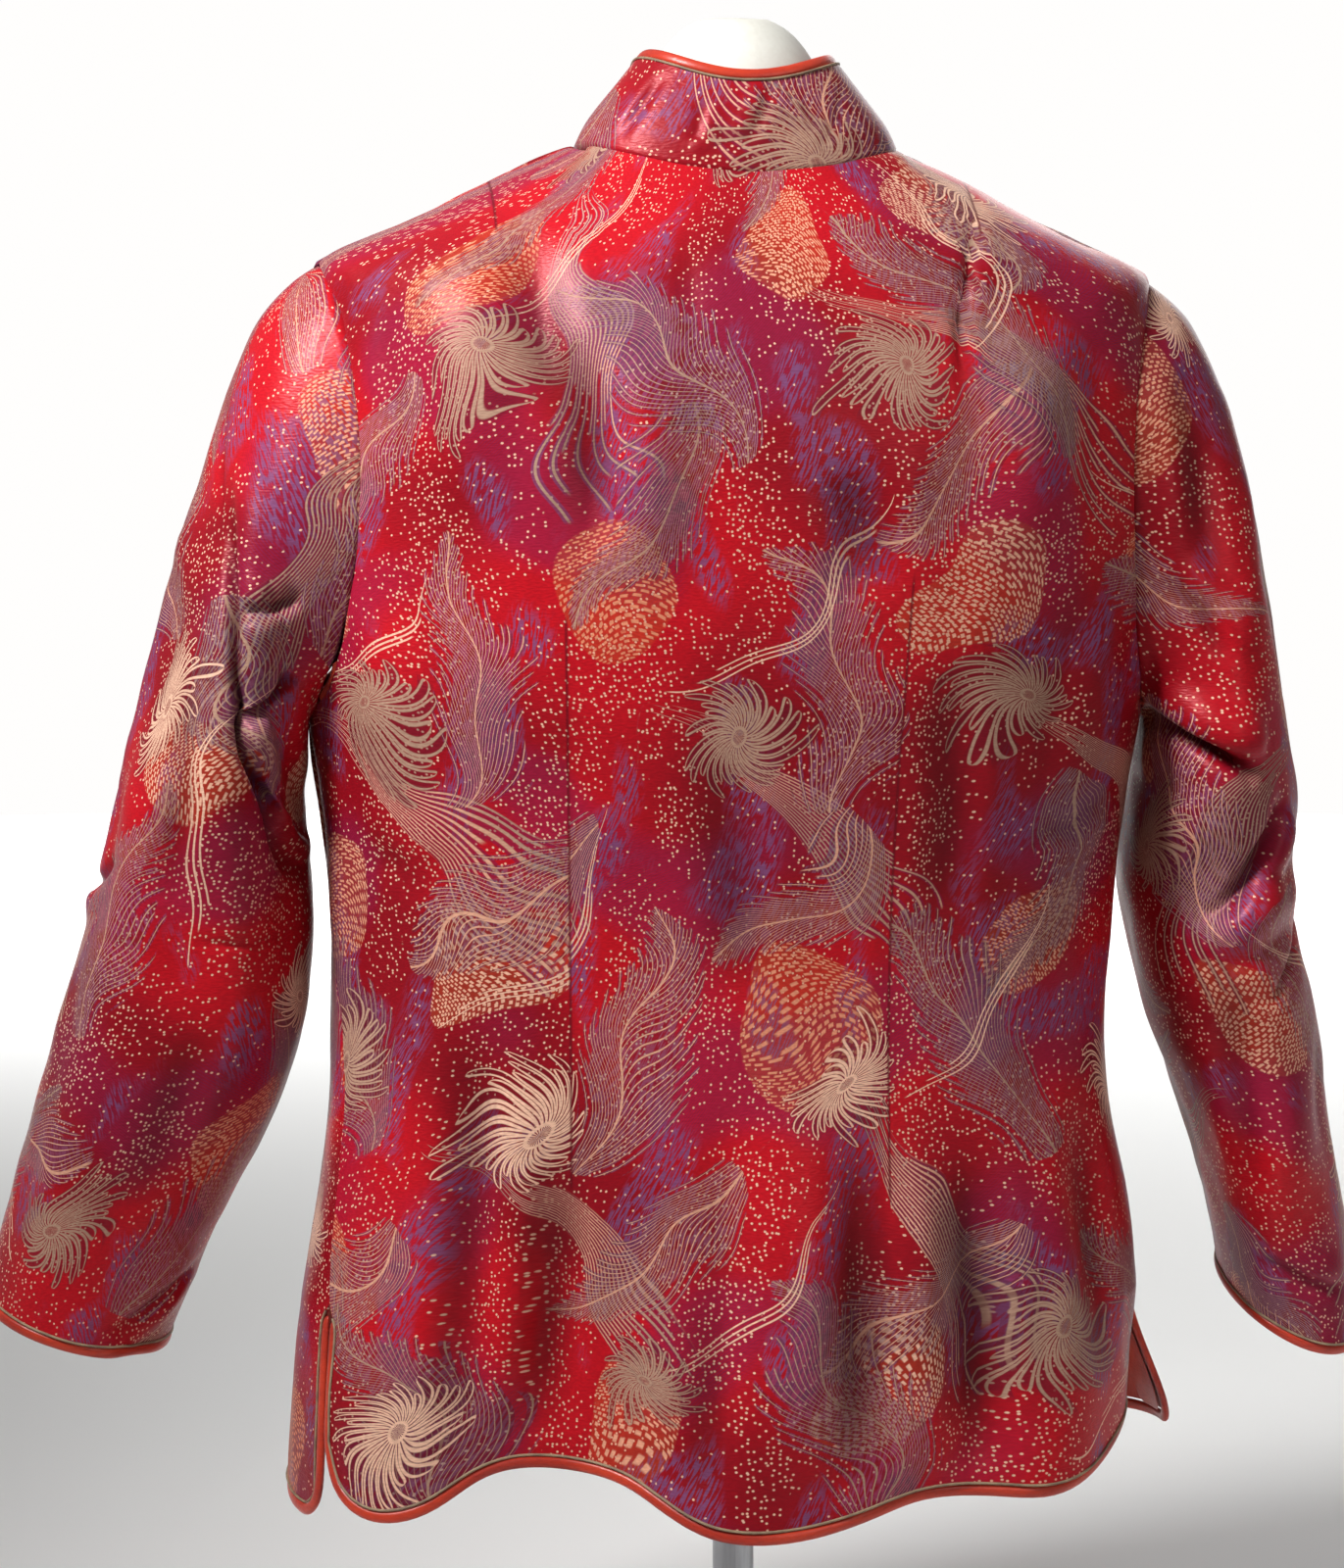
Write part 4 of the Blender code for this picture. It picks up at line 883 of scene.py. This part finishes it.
def make_panels(look, lining, gimp):
    made, cords = {}, {}
    bindings = solid_surface("binding_")
    for number, (name, (kind, levels, shift)) in enumerate(PANELS.items()):
        obj = smoothed(name, f"cloth_{name}", levels)
        co, normals = points(obj), directions(obj)
        mesh = obj.data
        surface = BVHTree.FromPolygons([Vector(p) for p in co], [tuple(p.vertices) for p in mesh.polygons])
        height = field(co, 24.0, number + 1, (1.0, 1.0, 0.6)) * SOFTNESS[name]
        height += field(co, 60.0, number + 11, (1.0, 1.0, 0.7)) * SOFTNESS[name] * 0.3
        pull, folds = np.zeros_like(co), np.zeros(len(co))
        for way, sort, width, depth, path in CREASES[name]:
            out, aside = crease(co, surface, way, sort, width, depth, path)
            folds += out
            pull += aside
        co = puckers(obj, co, normals)
        co = co + normals * (height + folds)[:, None] + pull
        put(obj, co)
        cords[name] = add_piping(name, obj, co, directions(obj), bindings, gimp)
        if name != "back":
            add_lips(obj, bindings)
        # The folds' depth becomes painted shade in hollows and painted highlight on ridges
        lay_out(obj, kind, shift, -folds / FOLD_SHADE, (0.013, 0.0))
        shell(obj, (look, lining))
        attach(obj, "root")
        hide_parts(name)
        made[name] = obj
    return made, cords


def declare(cords, trim):
    """Gathers each panel's piping with the trim listed as sewn to it, and keeps nothing."""
    for name, (flat, area, held, on, sewn) in CUT.items():
        cords[name] + [trim[k] for k in sewn]


def make_trim(look):
    """The bindings and the facings, rounded."""
    made = {}
    for name in NODES:
        if name.startswith(("binding_", "facing_")):
            obj = smoothed(name, f"satin_{name}", 2 if name.startswith("binding") else 1, outer=False)
            obj.data.materials.append(look)
            obj.data.shade_smooth()
            obj.data.set_sharp_from_angle(angle=math.radians(50))
            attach(obj, "root")
            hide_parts(name)
            made[name] = obj
    return made


def make_frogs(look):
    """The knot buttons and the cords that hold them."""
    for name in NODES:
        if name.startswith("frog_"):
            obj = smoothed(name, f"corded_{name}", 1, outer=False)
            obj.data.materials.append(look)
            obj.data.shade_smooth()
            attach(obj, "root")
            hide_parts(name)


def make_form(form, steel):
    obj = smoothed("dress_form", "form_body", 2, outer=False)
    obj.data.materials.append(form)
    obj.data.shade_smooth()
    obj.data.set_sharp_from_angle(angle=math.radians(60))
    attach(obj, "root")
    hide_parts("dress_form")
    for name in ("stand_pole", "stand_base"):
        NODES[name].data.materials.clear()
        NODES[name].data.materials.append(steel)
        NODES[name].data.shade_smooth()
        NODES[name].data.set_sharp_from_angle(angle=math.radians(35))


def studio():
    scene = bpy.context.scene
    a, e = math.radians(AZIMUTH), math.radians(ELEVATION)
    back = Vector((math.sin(a) * math.cos(e), -math.cos(a) * math.cos(e), math.sin(e)))
    data = bpy.data.cameras.new("camera")
    data.sensor_width = SENSOR
    data.lens = SENSOR * DISTANCE / FRAME_HEIGHT
    camera = bpy.data.objects.new("camera", data)
    camera.location = TARGET + back * DISTANCE
    camera.rotation_mode = "QUATERNION"
    camera.rotation_quaternion = (-back).to_track_quat("-Z", "Y")
    scene.collection.objects.link(camera)
    scene.camera = camera
    scene.view_settings.view_transform = "Standard"

    bm = bmesh.new()
    bmesh.ops.create_circle(bm, cap_ends=True, segments=96, radius=FLOOR_RADIUS)
    floor = added("floor", bm)
    mat = bpy.data.materials.new("floor_paper")
    mat.use_nodes = True
    mat.node_tree.nodes["Principled BSDF"].inputs["Base Color"].default_value = (0.84, 0.84, 0.83, 1.0)
    mat.node_tree.nodes["Principled BSDF"].inputs["Roughness"].default_value = 0.8
    floor.data.materials.append(mat)
    floor.location.z = -0.0005

    world = bpy.data.worlds.new("studio")
    world.use_nodes = True
    sky = world.node_tree
    sky.nodes["Background"].inputs[0].default_value = (1.0, 0.99, 0.98, 1.0)
    around = sky.nodes.new("ShaderNodeTexCoord")
    split = sky.nodes.new("ShaderNodeSeparateXYZ")
    sky.links.new(around.outputs["Generated"], split.inputs[0])
    glow = (Val(sky, split.outputs[1]) * -back.y - Val(sky, split.outputs[0]) * back.x).step(
        0.925, 0.958, WORLD_DIM, WORLD_BRIGHT)
    sky.links.new(glow.s, sky.nodes["Background"].inputs[1])
    scene.world = world
    right = Vector((-back.y, back.x, 0)).normalized()
    for name, away, side, up, size, power in LAMPS:
        light = bpy.data.lights.new(name, "AREA")
        light.energy, light.size = power, size
        light.spread = KEY_SPREAD if name == "key" else math.pi
        lamp = bpy.data.objects.new(name, light)
        flat = Vector((back.x, back.y, 0)).normalized()
        lamp.location = TARGET + flat * away + right * side + Vector((0, 0, up))
        lamp.rotation_mode = "QUATERNION"
        aim = TARGET + Vector((0, 0, KEY_LIFT if name == "key" else 0.0)) - lamp.location
        if name == "paper":
            aim = PAPER_AIM
        lamp.rotation_quaternion = aim.to_track_quat("-Z", "Y")
        scene.collection.objects.link(lamp)


studio()
cloth = brocade()
satin = plain("satin_orange", (0.60, 0.045, 0.014), (0.36, 0.016, 0.008), 0.36, 900.0, 0.0002, (0.35, 0.35, 1.0),
              sheen=0.1)
lining = plain("satin_lining", (0.62, 0.055, 0.018), (0.42, 0.025, 0.010), 0.38, 700.0, 0.0002, (1.0, 1.0, 0.3),
               sheen=0.1)
rolled = plain("cord_satin", (0.46, 0.018, 0.016), (0.24, 0.006, 0.008), 0.40, 1500.0, 0.0002, sheen=0.1)
ivory = plain("form_ivory", (0.78, 0.77, 0.70), (0.69, 0.67, 0.60), 0.62, 260.0, 0.0003)
steel = plain("steel_brushed", (0.52, 0.53, 0.55), (0.38, 0.39, 0.41), 0.33, 900.0, 0.00005, (1.0, 1.0, 0.04),
              metal=1.0)
gimp = plain("cord_gimp", (0.36, 0.25, 0.15), (0.16, 0.10, 0.07), 0.6, 2200.0, 0.0003)
panels, cords = make_panels(cloth, lining, gimp)
trim = make_trim(satin)
make_frogs(rolled)
make_form(ivory, steel)
declare(cords, trim)
